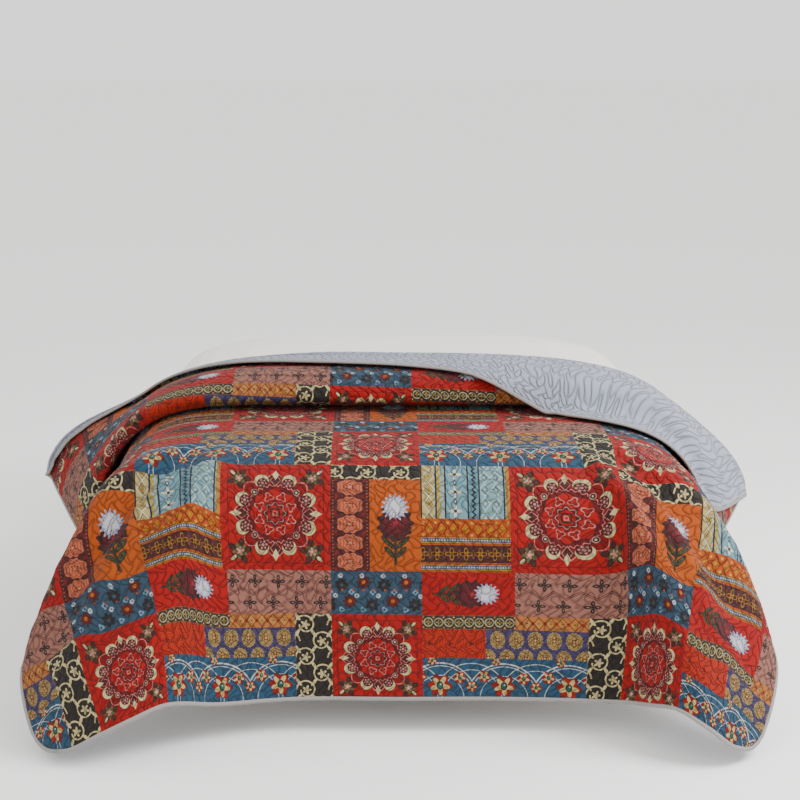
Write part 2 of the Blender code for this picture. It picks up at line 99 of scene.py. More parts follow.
RIGHT_HEM = (
    (0.00, 0.000, 0.00, 0.105, 0.085),
    (0.30, 0.300, 0.00, 0.105, 0.085),
    (0.59, 0.585, -0.02, 0.105, 0.12),
    (0.72, 0.660, -0.10, 0.130, 0.35),
    (0.83, 0.717, -0.17, 0.149, 0.45),
    (0.95, 0.790, -0.21, 0.115, 0.45),
    (1.085, 0.868, -0.200, 0.055, 0.40),
    (1.21, 0.935, -0.140, 0.050, 0.30),
    (1.40, 0.995, -0.030, 0.190, 0.30),
    (1.52, 0.985, 0.050, 0.265, 0.28),
    (1.68, 0.945, 0.190, 0.295, 0.20),
    (1.85, 0.905, 0.340, 0.310, 0.14),
    (2.00, 0.885, 0.470, 0.308, 0.10),
    *HEAD_HEM,
)
ROLL_BACK = 0.665
ROLL_COLUMNS = ("across", "turned", "ridge", "rise")
ROLL = (
    (-1.165, 0.05, 0.34, 0.18),
    (-0.90, 0.05, 0.34, 0.36),
    (-0.70, 0.06, 0.31, 0.56),
    (-0.45, 0.11, 0.26, 0.86),
    (-0.20, 0.15, 0.22, 1.00),
    (0.00, 0.17, 0.21, 1.00),
    (0.20, 0.22, 0.20, 1.00),
    (0.40, 0.30, 0.19, 0.93),
    (0.60, 0.37, 0.18, 0.75),
    (0.80, 0.41, 0.18, 0.55),
    (1.165, 0.44, 0.24, 0.22),
)
ROLL_HEIGHT = 0.110
ROLL_PUFF = 0.052
LAYER_STEP = 0.012
FLAP_LIFT = 1.5 * LAYER_STEP
FOLD_REACH = 0.03
FOLD_TIP = 0.006
END_START = 0.75
END_OFFSET = 0.05
END_TILT = (0.55, 0.45)
FLAP_SKEW = 0.42
SKEW_OVER = 1.1
# Rows of the cloth near a hem lie at these distances from it, and never closer to each other than the two gaps
CORNER_ROWS = (0.0, 0.012, 0.035, 0.08)
ROW_GAP = 0.006
HEM_ROW_GAP = 0.004
FOLD_END = 2.5 * LAYER_STEP
SHORTEST_TURN = 3.5 * LAYER_STEP
# The roll's turned edge sinks to the layer beneath where its ridge lies far back
SINK_FROM = 0.22
SINK_OVER = 0.12
SINK_SHARE = 0.7
# A raised end of the roll settles on the layer beneath over this distance
SETTLE_OVER = 0.4

# The curved surface is worked out at a few cells, and then cut finer on a smooth curve through them. The handles of
# a hanging curve are scaled, by halving, until the curve is as long as the cloth
DROP_CELLS = 20
TOP_CELLS = 6
UNDER_CELLS = 3
LOOP_CELLS = 6
RETURN_CELLS = 3
ROLL_CELLS = 14
FLAP_CELLS = 12
LEVEL_CELLS = 12
SIDE_CELLS = 20
FINER_ALONG = 3
FINER_ACROSS = 4
SECTION_STEPS = 6
HANGING_POINTS = 25
HALVINGS = 12
HANDLE_SCALES = (0.2, 1.25)

# The quilted sheet and its binding, in metres. The print slips by ROLL_SLIP where it is hidden. A pucker wave has a
# length, a slant and a phase
SHEET_THICKNESS = 0.0052
ROLL_SLIP = 0.115
SLIP_FROM = 1.25
SLIP_OVER = 0.5
PUFF_HEIGHT = 0.0014
PUCKER_HEIGHT = 0.0030
PUCKER_WAVES = ((0.31, 0.9, 0.2), (0.23, -0.5, 1.7), (0.17, 1.8, 0.9), (0.13, -1.1, 2.6), (0.085, 0.3, 0.5))
PUCKER_SUM = 2.6
PUFF_GAIN = 1.7
PUFF_ROUND = 0.6
REVERSE_PUFF = 0.6
EDGE_FADE = 0.03
HANGING_FADE = 0.3
BINDING_WIDTH = 0.0125
BINDING_THICKNESS = 0.0082
BINDING_SIDES = 12
BINDING_ROUND = 0.7
BINDING_OVERLAP = 0.001
STITCH_ASIDE = 0.003
STITCH_LIFT = 0.97

# The print, in millimetres. One repeat is TILE_WIDTH across and TILE_HEIGHT along
TILE_WIDTH = 770.0
TILE_HEIGHT = 658.0
PRINT_SHIFT = 177.0
PRINT_RISE = 15.0
PRINT_TURN = 0.013
PRINT_STRENGTH = 1.15
PRINT_VALUE = 0.46
# How deep the materials make the quilting look, in metres
PRINTED_RELIEF = 0.0042
REVERSE_RELIEF = 0.0052
# The quilting's two wavelengths, in millimetres. The stitches run half a wavelength apart
QUILTING_ACROSS = 54.0
QUILTING_ALONG = 62.0

# One patch a row: the motif, its left and right edges and its lower and upper edges in the repeat, and how much
# of the drawn motif a millimetre of cloth holds
PATCHES = (
    ("medallion", 0, 239, 0, 243, 1.017),
    ("peony", 239, 671, 0, 125, 1.0),
    ("swirl", 239, 406, 125, 205, 1.0),
    ("ovals", 406, 671, 125, 205, 1.0),
    ("chain", 239, 487, 205, 243, 1.0),
    ("lattice", 487, 671, 205, 243, 1.0),
    ("scroll", 671, 770, 0, 243, 1.0),
    ("small_flowers", 0, 239, 243, 361, 1.0),
    ("blossom_sideways", 239, 485, 243, 361, 1.0),
    ("florets", 485, 770, 243, 361, 1.0),
    ("salmon_column", 0, 103, 361, 608, 1.0),
    ("scroll", 0, 238, 608, 658, 1.0),
    ("blossom", 103, 238, 361, 608, 1.0),
    ("stripes", 238, 475, 361, 502, 1.0),
    ("columns", 238, 475, 502, 658, 1.0),
    ("medallion", 475, 770, 361, 658, 0.824),
)

# The studio. The camera is taken from the photograph's vanishing lines
CAMERA_PLACE = (0.0, -5.359, 1.97)
CAMERA_TILT = 76.33
CAMERA_LENS = 77.8
FLOOR_REACH = 30

# Places along the cloth's edge, kept by the cloth's operator for the binding
EDGE = []


def linear(code):
    """An sRGB hex colour as linear red, green, blue and alpha."""
    values = [int(code[k : k + 2], 16) / 255 for k in (1, 3, 5)]
    return (*(v / 12.92 if v <= 0.04045 else ((v + 0.055) / 1.055) ** 2.4 for v in values), 1.0)


# Shape of the cloth


def unit(vector):
    """The vector at length one."""
    return vector / max(float(np.linalg.norm(vector)), 1e-12)


def ease(x):
    """A soft step from 0 to 1 as x goes from 0 to 1."""
    x = min(max(x, 0.0), 1.0)
    return x * x * (3.0 - 2.0 * x)


def column(table, names, name):
    """One named column of a table."""
    return [row[names.index(name)] for row in table]


def smooth(x, xs, ys):
    """A smooth curve through the points (xs, ys), read at x."""
    x = min(max(x, xs[0]), xs[-1])
    k = min(max(int(np.searchsorted(xs, x)) - 1, 0), len(xs) - 2)

    def slope(i):
        low, high = max(i - 1, 0), min(i + 1, len(xs) - 1)
        return (ys[high] - ys[low]) / (xs[high] - xs[low])

    step = xs[k + 1] - xs[k]
    t = (x - xs[k]) / step
    start, end = slope(k) * step, slope(k + 1) * step
    rise = ys[k + 1] - ys[k]
    return ys[k] + start * t + (3 * rise - 2 * start - end) * t * t + (start + end - 2 * rise) * t**3


def hem_at(side, along):
    """Where the hem hangs on one side, and its outward slope."""
    table = LEFT_HEM if side < 0 else RIGHT_HEM
    stops = column(table, HEM_COLUMNS, "along")
    out, back, up, lean = (
        smooth(along, stops, column(table, HEM_COLUMNS, name)) for name in ("out", "back", "up", "lean")
    )
    return np.array([side * out, back, up]), lean


def hanging_curve(start, hem, heading, lean, length, handles, share):
    """The point at a share of the way along the curve on which the cloth goes from the level top to its hem."""
    falling = unit(np.array([heading[0] * lean, heading[1] * lean, -1.0]))
    t = np.linspace(0.0, 1.0, HANGING_POINTS)[:, None]

    def curve(scale):
        first = start + heading * handles[0] * length * scale
        second = hem - falling * handles[1] * length * scale
        return (1 - t) ** 3 * start + 3 * (1 - t) ** 2 * t * first + 3 * (1 - t) * t**2 * second + t**3 * hem

    low, high = HANDLE_SCALES
    for _ in range(HALVINGS):
        middle = (low + high) / 2
        if np.linalg.norm(np.diff(curve(middle), axis=0), axis=1).sum() < length:
            low = middle
        else:
            high = middle
    points = curve(low)
    far = path_length(points)
    return np.array([np.interp(share * far[-1], far, points[:, axis]) for axis in range(3)])


def hem_distance(angle):
    """For a ray over a foot corner, at this angle from straight down to the foot: how far it runs to the edge of
    the flat cloth, and how far along the hem that is."""
    hang, drop, radius = HALF_WIDTH - LEVEL_HALF_WIDTH, DROP_LENGTH, CORNER_RADIUS
    s, c = math.sin(angle), math.cos(angle)
    foot = drop / c if c > 1e-6 else math.inf
    if foot * s <= hang - radius:
        return foot, LEVEL_HALF_WIDTH + foot * s
    side = hang / s
    if side * c <= drop - radius:
        return side, HALF_WIDTH - radius + math.pi / 2 * radius + (drop - side * c) - radius
    middle = (hang - radius) * s + (drop - radius) * c
    apart = (hang - radius) ** 2 + (drop - radius) ** 2
    far = middle + math.sqrt(middle * middle - apart + radius * radius)
    turn = math.atan2(far * s - (hang - radius), far * c - (drop - radius))
    return far, HALF_WIDTH - radius + radius * turn


def lying(across, down):
    """A point of the bottom layer. across: flat distance from the middle. down: flat distance from the start of
    the level top towards the foot hem, negative towards the head."""
    side = -1.0 if across < 0 else 1.0
    past = abs(across) - LEVEL_HALF_WIDTH
    if down <= 0 and past <= 0:
        return np.array([across, LEVEL_START - down, CLOTH_TOP])
    if down <= 0:
        start = np.array([side * LEVEL_HALF_WIDTH, LEVEL_START - down, CLOTH_TOP])
        corner = HALF_WIDTH - CORNER_RADIUS + math.pi / 2 * CORNER_RADIUS - CORNER_RADIUS
        hem, lean = hem_at(side, corner + DROP_LENGTH - down)
        length = HALF_WIDTH - LEVEL_HALF_WIDTH
        return hanging_curve(start, hem, np.array([side, 0.0, 0.0]), lean, length, SIDE_HANDLES, past / length)
    if past <= 0:
        start = np.array([across, LEVEL_START, CLOTH_TOP])
        hem, lean = hem_at(side, abs(across))
        heading = np.array([0.0, -1.0, 0.0])
        return hanging_curve(start, hem, heading, lean, DROP_LENGTH, FRONT_HANDLES, down / DROP_LENGTH)
    angle = math.atan2(past, down)
    length, along = hem_distance(angle)
    hem, lean = hem_at(side, along)
    start = np.array([side * LEVEL_HALF_WIDTH, LEVEL_START, CLOTH_TOP])
    heading = np.array([side * math.sin(angle), -math.cos(angle), 0.0])
    turn = angle / (math.pi / 2)
    handles = [front + (to_side - front) * turn for front, to_side in zip(FRONT_HANDLES, SIDE_HANDLES)]
    share = min(math.hypot(past, down) / length, 1.0)
    return hanging_curve(start, hem, heading, lean, length, handles, share)


def bed_normal(across):
    """The direction straight out of the bottom layer under the roll."""
    step = 0.01
    run = lying(across + step, LEVEL_START - ROLL_BACK) - lying(across - step, LEVEL_START - ROLL_BACK)
    return unit(np.array([-run[2], 0.0, run[0]]))


def roll_at(name, across):
    """A column of the roll's table, read across the bed."""
    return smooth(across, column(ROLL, ROLL_COLUMNS, "across"), column(ROLL, ROLL_COLUMNS, name))


def roll_place(across, back, height, lifted):
    """A point over the bottom layer, this far behind the roll's front. The roll's ends tip outwards."""
    side = -1.0 if across < 0 else 1.0
    end = ease((abs(across) - END_START) / (HALF_WIDTH - END_START))
    normal = bed_normal(across)
    if lifted <= 0 or back <= 0:
        base = lying(across, LEVEL_START - ROLL_BACK - back)
        settled = ease(1.0 - abs(back) / SETTLE_OVER)
        return base + normal * (height + END_OFFSET * end * settled)
    base = lying(across, LEVEL_START - ROLL_BACK) + normal * END_OFFSET * end
    tilt = end * lifted
    along = unit(np.array([side * END_TILT[0] * tilt, 1.0, END_TILT[1] * tilt]))
    return base + along * back + normal * height


def roll_section(across):
    """The section of the roll, as (back, height, lifted): round its front, over its top, round the ridge and on
    over the turned part, which ends on the bottom layer where it is long enough."""
    rise = roll_at("rise", across)
    ridge = roll_at("ridge", across)
    puffed = (ROLL_HEIGHT - LAYER_STEP) * rise
    top = LAYER_STEP + puffed
    puff = ROLL_PUFF * rise
    behind = ease((ridge - SINK_FROM) / SINK_OVER)
    back_of_ridge = top - SINK_SHARE * behind * (top - 2 * LAYER_STEP)
    before_ridge = (top + back_of_ridge) / 2
    front = (
        (0.07, LAYER_STEP, 0.0),
        (0.02, LAYER_STEP * 1.05, 0.5),
        (-puff * 0.7, LAYER_STEP + puffed * 0.22, 1.0),
        (-puff, LAYER_STEP + puffed * 0.5, 1.0),
        (-puff * 0.45, LAYER_STEP + puffed * 0.86, 1.0),
        (0.035, top, 1.0),
        (0.11, top + 0.002, 1.0),
        (ridge - FOLD_REACH, before_ridge, 1.0),
    )
    fold = (
        (ridge - FOLD_TIP, back_of_ridge + 0.001, 1.0),
        (ridge, back_of_ridge + FLAP_LIFT * 0.5, 1.0),
        (ridge - FOLD_TIP, back_of_ridge + FLAP_LIFT, 1.0),
    )
    flap = (
        (ridge - FOLD_REACH, before_ridge + FLAP_LIFT, 1.0),
        (0.11, top + 0.002 + FLAP_LIFT, 1.0),
        (0.035, top + FLAP_LIFT, 1.0),
        (-puff * 0.45 - FLAP_LIFT * 0.75, LAYER_STEP + puffed * 0.90 + FLAP_LIFT * 0.55, 1.0),
        (-puff - FLAP_LIFT * 1.1, LAYER_STEP + puffed * 0.5, 1.0),
        (-puff - FLAP_LIFT * 1.8, FLAP_LIFT + puffed * 0.16, 1.0),
        (-puff - 0.05, FLAP_LIFT, 1.0),
        (-puff - 0.15, FLAP_LIFT, 1.0),
        (-puff - 0.30, FLAP_LIFT, 1.0),
        (-puff - 0.45, FLAP_LIFT, 1.0),
    )
    return front, fold, flap


def curved(nodes, steps):
    """A smooth path through nodes, which are rows of numbers or of points."""
    nodes = np.array(nodes, dtype=float)
    before = np.concatenate([nodes[:1], nodes[:-2]])
    first, second = nodes[:-1], nodes[1:]
    after = np.concatenate([nodes[2:], nodes[-1:]])
    parts = []
    for step in range(steps):
        t = step / steps
        parts.append(
            0.5
            * (
                2 * first
                + (second - before) * t
                + (2 * before - 5 * first + 4 * second - after) * t * t
                + (3 * first - before - 3 * second + after) * t**3
            )
        )
    path = np.stack(parts, axis=1).reshape(-1, *nodes.shape[1:])
    return np.concatenate([path, nodes[-1:]])


def path_length(path):
    """How long a path is at each of its points."""
    steps = np.linalg.norm(np.diff(path, axis=0), axis=1)
    return np.concatenate([[0.0], np.cumsum(steps)])


def resample(path, cells):
    """The path at even steps."""
    far = path_length(path)
    places = np.linspace(0.0, far[-1], cells + 1)
    return np.array([[np.interp(place, far, path[:, axis]) for axis in range(path.shape[1])] for place in places])


def edge_half_width(from_edge):
    """Half the flat cloth's width at a distance from an end, where its corners are rounded."""
    if from_edge >= CORNER_RADIUS:
        return HALF_WIDTH
    rest = CORNER_RADIUS - from_edge
    return HALF_WIDTH - CORNER_RADIUS + math.sqrt(CORNER_RADIUS**2 - rest**2)


def drawn_in(across, from_edge):
    """A column's place where the rounded corner narrows the cloth."""
    keep = HALF_WIDTH - 3 * CORNER_RADIUS
    if abs(across) <= keep:
        return across
    share = (abs(across) - keep) / (HALF_WIDTH - keep)
    return math.copysign(keep + share * (edge_half_width(from_edge) - keep), across)


def turned_path(across):
    """The section from the roll's top round the ridge and over the turned part: how far along it the ridge's
    crease is, the path, and how long it is at each point."""
    front, fold, flap = roll_section(across)
    path = curved((front[-1], *fold, *flap), SECTION_STEPS)
    far = path_length(path[:, :2])
    crease = int(np.argmin(np.linalg.norm(path - np.array(fold[1]), axis=1)))
    return far[crease], path, far


def cloth_column(across):
    """The cloth's points along one column, from the foot hem to the head hem, each with the sideways place of its
    print."""
    points, prints = [], []
    drops = list(CORNER_ROWS) + list(np.linspace(CORNER_ROWS[-1], DROP_LENGTH, DROP_CELLS + 1)[1:])
    for hem in drops:
        prints.append(drawn_in(across, hem))
        points.append(lying(prints[-1], DROP_LENGTH - hem))
    for back in np.linspace(LEVEL_START, ROLL_BACK, TOP_CELLS + 1)[1:]:
        points.append(lying(across, LEVEL_START - back))

    front, fold, flap = roll_section(across)
    turned = roll_at("turned", across)
    over_roll = curved(front, SECTION_STEPS)
    round_ridge = curved((front[-1], *fold, flap[0]), SECTION_STEPS)
    rest = path_length(over_roll[:, :2])[-1] - front[0][0] + path_length(round_ridge[:, :2])[-1] / 2 + turned
    fold_back = (CLOTH_LENGTH - DROP_LENGTH - 2 * LAYER_STEP - rest + LEVEL_START + ROLL_BACK) / 2 - ROLL_BACK
    under = [(back, 0.0, 0.0) for back in np.linspace(0.0, fold_back - FOLD_REACH, UNDER_CELLS + 1)[1:]]
    bend = curved(
        (
            (fold_back - FOLD_REACH, 0.0, 0.0),
            (fold_back - FOLD_TIP, -0.001, 0.0),
            (fold_back, LAYER_STEP / 2, 0.0),
            (fold_back - FOLD_TIP, LAYER_STEP, 0.0),
            (fold_back - FOLD_REACH, LAYER_STEP, 0.0),
        ),
        SECTION_STEPS,
    )
    returned = [
        (back, LAYER_STEP, 0.0) for back in np.linspace(fold_back - FOLD_REACH, front[0][0], RETURN_CELLS + 1)[1:]
    ]
    for place in (*under, *resample(bend, LOOP_CELLS)[1:], *returned, *resample(over_roll, ROLL_CELLS)[1:]):
        points.append(roll_place(across, *place))
    prints += [across] * (len(points) - len(prints))

    around, _, _ = turned_path(across)
    skew = FLAP_SKEW * ease(across / SKEW_OVER)
    fold_stops = list(np.linspace(-around, FOLD_END, LOOP_CELLS + 1)[1:])
    head_rows = [max(turned, SHORTEST_TURN) - hem for hem in reversed(CORNER_ROWS)]
    middle_end = max(head_rows[0], fold_stops[-1] + ROW_GAP)
    middle = list(np.linspace(fold_stops[-1], middle_end, FLAP_CELLS - len(CORNER_ROWS) + 1)[1:])
    last = [max(stop, middle_end + HEM_ROW_GAP * (k + 1)) for k, stop in enumerate(head_rows[1:])]
    for stop in (*fold_stops, *middle, *last):
        prints.append(drawn_in(across, max(last[-1] - stop, 0.0)))
        shifted = prints[-1] - skew * max(stop, 0.0)
        before, whole, far = turned_path(shifted)
        place = [np.interp(before + stop, far, whole[:, axis]) for axis in range(3)]
        points.append(roll_place(shifted, *place))
    return np.concatenate([np.array(points), np.array(prints)[:, None]], axis=1)


def cloth_grid():
    """The middle of the cloth as a fine grid of points, [row from foot to head][column from left to right], and
    each point's place on the flat cloth."""
    level = np.linspace(-LEVEL_HALF_WIDTH, LEVEL_HALF_WIDTH, LEVEL_CELLS + 1)
    right = np.linspace(LEVEL_HALF_WIDTH, HALF_WIDTH, SIDE_CELLS + 1)[1:]
    columns = [*(-right[::-1]), *level, *right]
    grid = np.array([cloth_column(across) for across in columns]).transpose(1, 0, 2)
    grid[:, :, 1] += FRONT_Y
    grid = curved(grid, FINER_ALONG)
    grid = curved(grid.transpose(1, 0, 2), FINER_ACROSS).transpose(1, 0, 2)
    points, across = grid[:, :, :3], grid[:, :, 3]
    steps = np.linalg.norm(np.diff(points, axis=0), axis=2)
    # The cloth is measured along its middle quarter, where it lies flattest
    middle = steps[:, steps.shape[1] * 3 // 8 : steps.shape[1] * 5 // 8].mean(axis=1)
    along = np.concatenate([[0.0], np.cumsum(middle)])
    # The print slips a little where it is hidden, so that the roll shows the right row
    along += ROLL_SLIP * np.clip((along - SLIP_FROM) / SLIP_OVER, 0.0, 1.0)
    along = np.repeat(along[:, None], points.shape[1], axis=1)
    return points, np.stack([across, along], axis=2)


def grid_normals(grid):
    """The direction out of the printed face at each point."""
    normals = np.cross(np.gradient(grid, axis=1), np.gradient(grid, axis=0))
    return normals / np.maximum(np.linalg.norm(normals, axis=2, keepdims=True), 1e-9)


def quilting(x, y, sine):
    """A value that is zero along the wandering line of stitches. x and y are places on the flat cloth in
    millimetres, as arrays or as fields of a node tree, and sine is the function for them. The waves' lengths and
    heights are in millimetres too."""
    turn = 2 * math.pi
    bent_x = x + sine(y * (turn / 71) + 1.3) * 10.0 + sine(y * (turn / 43)) * 7.0
    bent_y = y + sine(x * (turn / 63) + 0.4) * 10.0 + sine(x * (turn / 47) + 2.0) * 7.0
    cells = sine(bent_x * (turn / QUILTING_ACROSS)) * sine(bent_y * (turn / QUILTING_ALONG))
    # A slow drift opens the crossings, so that the line wanders and never crosses itself
    return cells + sine((x + y * 0.7) * (turn / 187)) * 0.17


def pucker_field(flat):
    """Soft uneven rise and fall of the cloth, over a hand's breadth."""
    x, y = flat[:, :, 0], flat[:, :, 1]
    total = np.zeros_like(x)
    for wave, slant, phase in PUCKER_WAVES:
        total += np.sin((x + slant * y) * 2 * math.pi / wave + phase) * wave / PUCKER_WAVES[0][0]
    return total / PUCKER_SUM


def edge_walk(rows, columns):
    """The grid's edge points in order, seen from the printed face."""
    walk = [(0, j) for j in range(columns)]
    walk += [(i, columns - 1) for i in range(1, rows)]
    walk += [(rows - 1, j) for j in range(columns - 2, -1, -1)]
    walk += [(i, 0) for i in range(rows - 2, 0, -1)]
    return walk


def put_in_scene(name, data):
    """An object in the scene that holds a mesh, a light or a camera."""
    made = bpy.data.objects.new(name, data)
    bpy.context.scene.collection.objects.link(made)
    return made


def mesh_object(name, vertices, faces, materials, uvs=None, face_materials=None):
    """A smooth-shaded object from points and faces. uvs holds one pair for each point."""
    mesh = bpy.data.meshes.new(name)
    mesh.from_pydata([tuple(point) for point in vertices], [], faces)
    for look in materials:
        mesh.materials.append(look)
    if face_materials is not None:
        mesh.polygons.foreach_set("material_index", np.array(face_materials, dtype=np.int32))
    if uvs is not None:
        layer = mesh.uv_layers.new(name="FlatCloth")
        corners = np.zeros(len(mesh.loops), dtype=np.int32)
        mesh.loops.foreach_get("vertex_index", corners)
        layer.data.foreach_set("uv", np.array(uvs, dtype=np.float32)[corners].ravel())
    mesh.shade_smooth()
    return put_in_scene(name, mesh)


# Node trees


def add(tree, kind, inputs=(), output=0, **settings):
    """Add a node with its settings, and join or set its inputs. Returns one of its outputs."""
    made = tree.nodes.new(kind)
    for name, value in settings.items():
        setattr(made, name, value)
    for key, value in inputs.items() if isinstance(inputs, dict) else enumerate(inputs):
        value = value.socket if isinstance(value, Field) else value
        if isinstance(value, bpy.types.NodeSocket):
            tree.links.new(value, made.inputs[key])
        elif value is not None:
            made.inputs[key].default_value = value
    return made.outputs[output]


class Field:
    """A number that changes over the cloth. Reckoning with fields adds to their node tree."""

    def __init__(self, tree, socket):
        self.tree = tree
        self.socket = socket

    def reckon(self, operation, *others):
        return Field(self.tree, add(self.tree, "ShaderNodeMath", (self, *others), operation=operation))

    def __add__(self, other):
        return self.reckon("ADD", other)

    def __sub__(self, other):
        return self.reckon("SUBTRACT", other)

    def __mul__(self, other):
        return self.reckon("MULTIPLY", other)

    def __mod__(self, other):
        return self.reckon("MODULO", other)

    def __abs__(self):
        return self.reckon("ABSOLUTE")


def sine(field):
    """The sine of a field."""
    return field.reckon("SINE")


def either(a, b):
    """The larger of two fields: where one mask or the other is 1."""
    return a.reckon("MAXIMUM", b)


def both(a, b):
    """The smaller of two fields: where both masks are 1."""
    return a.reckon("MINIMUM", b)


def reach(x, y):
    """The distance from the origin."""
    return (x * x + y * y).reckon("SQRT")


def bearing(x, y):
    """The angle round the origin."""
    return y.reckon("ARCTAN2", x)


def polar(x, y):
    """The distance from the origin and the angle round it."""
    return reach(x, y), bearing(x, y)


def slanted(x, y):
    """The place along and across a line at 45 degrees."""
    return (x + y) * EIGHTH_TURN, (x - y) * EIGHTH_TURN


def repeat(value, pitch, shift=0.0):
    """The value's distance from the middle of its repeat."""
    return (value + (pitch / 2 + shift + SPARE_REPEATS * pitch)) % pitch - pitch / 2


def past_petals(distance, turn, count, middle, swing, phase=0.0):
    """How far a point is outside a flower of round petals, and under zero inside it."""
    return distance - ((turn * count + phase).reckon("COSINE") * swing + middle)


def oval(x, y, width, height):
    """A distance that is 1 on an oval's edge."""
    return reach(x * (2.0 / width), y * (2.0 / height))


def diamond(x, y, width, height):
    """A distance that is 1 on a diamond's edge."""
    return abs(x) * (2.0 / width) + abs(y) * (2.0 / height)


def within(value, limit, soft=1.2):
    """1 or more where the value is under the limit and 0 or less where it is over it, with a soft edge. The Mix
    node that lays the colour clamps it."""
    edges = (value, limit - soft / 2, limit + soft / 2, 1.0, 0.0)
    return Field(value.tree, add(value.tree, "ShaderNodeMapRange", edges, clamp=False))


def held(mask):
    """The mask held between 0 and 1."""
    return mask.reckon("MAXIMUM", 0.0).reckon("MINIMUM", 1.0)


def ring(distance, radius, width, soft=1.0):
    """1 on a line of some width at a distance."""
    return within(abs(distance - radius), width / 2, soft)


def petals(*flower, phase=0.0, soft=1.2):
    """1 on a flower of round petals: its distance, turn, count, middle radius and swing."""
    return within(past_petals(*flower, phase), 0.0, soft)


def petal_line(*flower, width):
    """1 on the outline of a flower of round petals."""
    return ring(past_petals(*flower), 0.0, width)


def over(ground, *layers):
    """The ground's colour with layers of mask and colour over it, the last on top."""
    for mask, colour in layers:
        ground, colour = (linear(each) if isinstance(each, str) else each for each in (ground, colour))
        # A Mix node's colour inputs are its seventh and eighth, and its colour output is its third
        ground = add(mask.tree, "ShaderNodeMix", {0: mask, 6: ground, 7: colour}, output=2, data_type="RGBA")
    return ground


# The print's motifs. x and y are millimetres from the middle of the patch. Each gives its layers one by one, as
# a mask and a colour, the ground first with no mask. A mask is made only when its layer is laid, because the
# renderer has room for few half-finished values


def medallion(x, y, ink):
    """Red square with eight pale crescents and four spears round a lobed rosette, and a sprig in each corner."""
    r, a = polar(x, y)
    flat_x, flat_y = abs(x), abs(y)
    far, near = either(flat_x, flat_y), both(flat_x, flat_y)
    eighth = repeat(a, math.pi / 4, math.pi / 8)
    spoke_x, spoke_y = r * eighth.reckon("COSINE"), r * sine(eighth)
    ex = spoke_x - 80.0
    er = reach(ex, spoke_y)
    inner = reach(spoke_x - 74.0, spoke_y)
    curl_r, curl_a = polar(spoke_x - 38.0, spoke_y)
    quarter = repeat(a, math.pi / 2, math.pi / 4)
    knot_r = reach(r * quarter.reckon("COSINE") - 66.0, r * sine(quarter))
    cx, cy = flat_x - 82.0, flat_y - 82.0
    along, aside = slanted(cx, cy)
    cr, ca = polar(along, aside)
    yield None, ink.red
    yield petals(r, a, 8, 84.0, 10.0, soft=2.0), "#8a1a1e"
    yield petal_line(r, a, 8, 84.0, 10.0, width=2.6), ink.pink
    yield petals(r, a, 24, 70.0, 2.0), "#6d141b"
    yield petal_line(r, a, 32, 63.0, 2.4, width=2.0), ink.pink
    yield within(near * 1.3 + abs(far - 78.0), 19.0), ink.maroon
    yield ring(near * 1.3 + abs(far - 76.0), 15.0, 2.4), ink.pink
    yield within(near * 2.0 + abs(far - 90.0), 14.0), ink.cream
    yield within(er, 17.0), ink.maroon
    yield both(within(er, 16.0), within(reach(ex + 6.5, spoke_y) * -1.0, -13.0)), ink.cream
    yield petals(inner, bearing(spoke_x - 74.0, spoke_y), 6, 8.0, 2.4), ink.pink
    yield ring(inner, 4.6, 2.6), ink.black
    yield within(knot_r, 9.0), ink.black
    yield ring(knot_r, 6.5, 2.0), ink.pink
    yield within(knot_r, 2.4), ink.cream
    yield petals(r, a, 8, 54.0, 3.0), ink.red
    yield petal_line(r, a, 8, 54.0, 3.0, width=2.4), ink.maroon
    yield petal_line(curl_r, curl_a, 3, 8.0, 3.0, width=2.6), ink.pink
    yield petal_line(curl_r, curl_a, 3, 5.2, 1.6, width=1.6), ink.maroon
    yield petals(r, a, 8, 26.0, 3.5), "#4a1018"
    yield petal_line(r, a, 8, 21.5, 2.6, width=1.8), ink.pink
    yield within(r, 17.0), ink.red
    yield ring(far, 9.5, 3.0), ink.black
    yield ring(far, 4.2, 2.2), ink.pink
    yield petals(cr, ca, 5, 22.0, 7.0), "#32160f"
    yield petal_line(cr, ca, 10, 18.0, 4.0, width=1.8), "#7a2a26"
    yield petals(cr, ca, 5, 12.0, 6.0, phase=math.pi), "#5b6138"
    yield petals(cr, ca, 5, 7.5, 3.0), ink.pink
    yield within(cr, 2.4), ink.cream
    yield within(oval(along - 21.0, aside, 15.0, 7.0), 1.0, 0.2), ink.cream
    yield both(ring(far, 107.0, 1.6), within(near, 107.0)), "#5e100f"


def scroll(x, y, ink):
    """Black ground with pale vines that curl round leaf flowers."""
    yield None, ink.black
    for shift, rise, turn in ((22.0, 0.0, 1.0), (-22.0, 45.0, -1.0)):
        cx, cy = repeat(x, 88.0, shift) * turn, repeat(y, 90.0, rise)
        r, a = polar(cx, cy)
        lx, ly = abs(cx) - 20.0, abs(cy) - 19.0
        yield ring(r - a * 2.0, 22.0, 4.0), ink.cream
        yield within(oval(*slanted(lx, ly), 19.0, 7.0), 1.0, 0.25), ink.cream
        yield petals(r, a, 5, 9.5, 4.0), ink.cream
        yield petal_line(r, a, 5, 4.0, 2.0, width=1.2), "#6b4a2a"


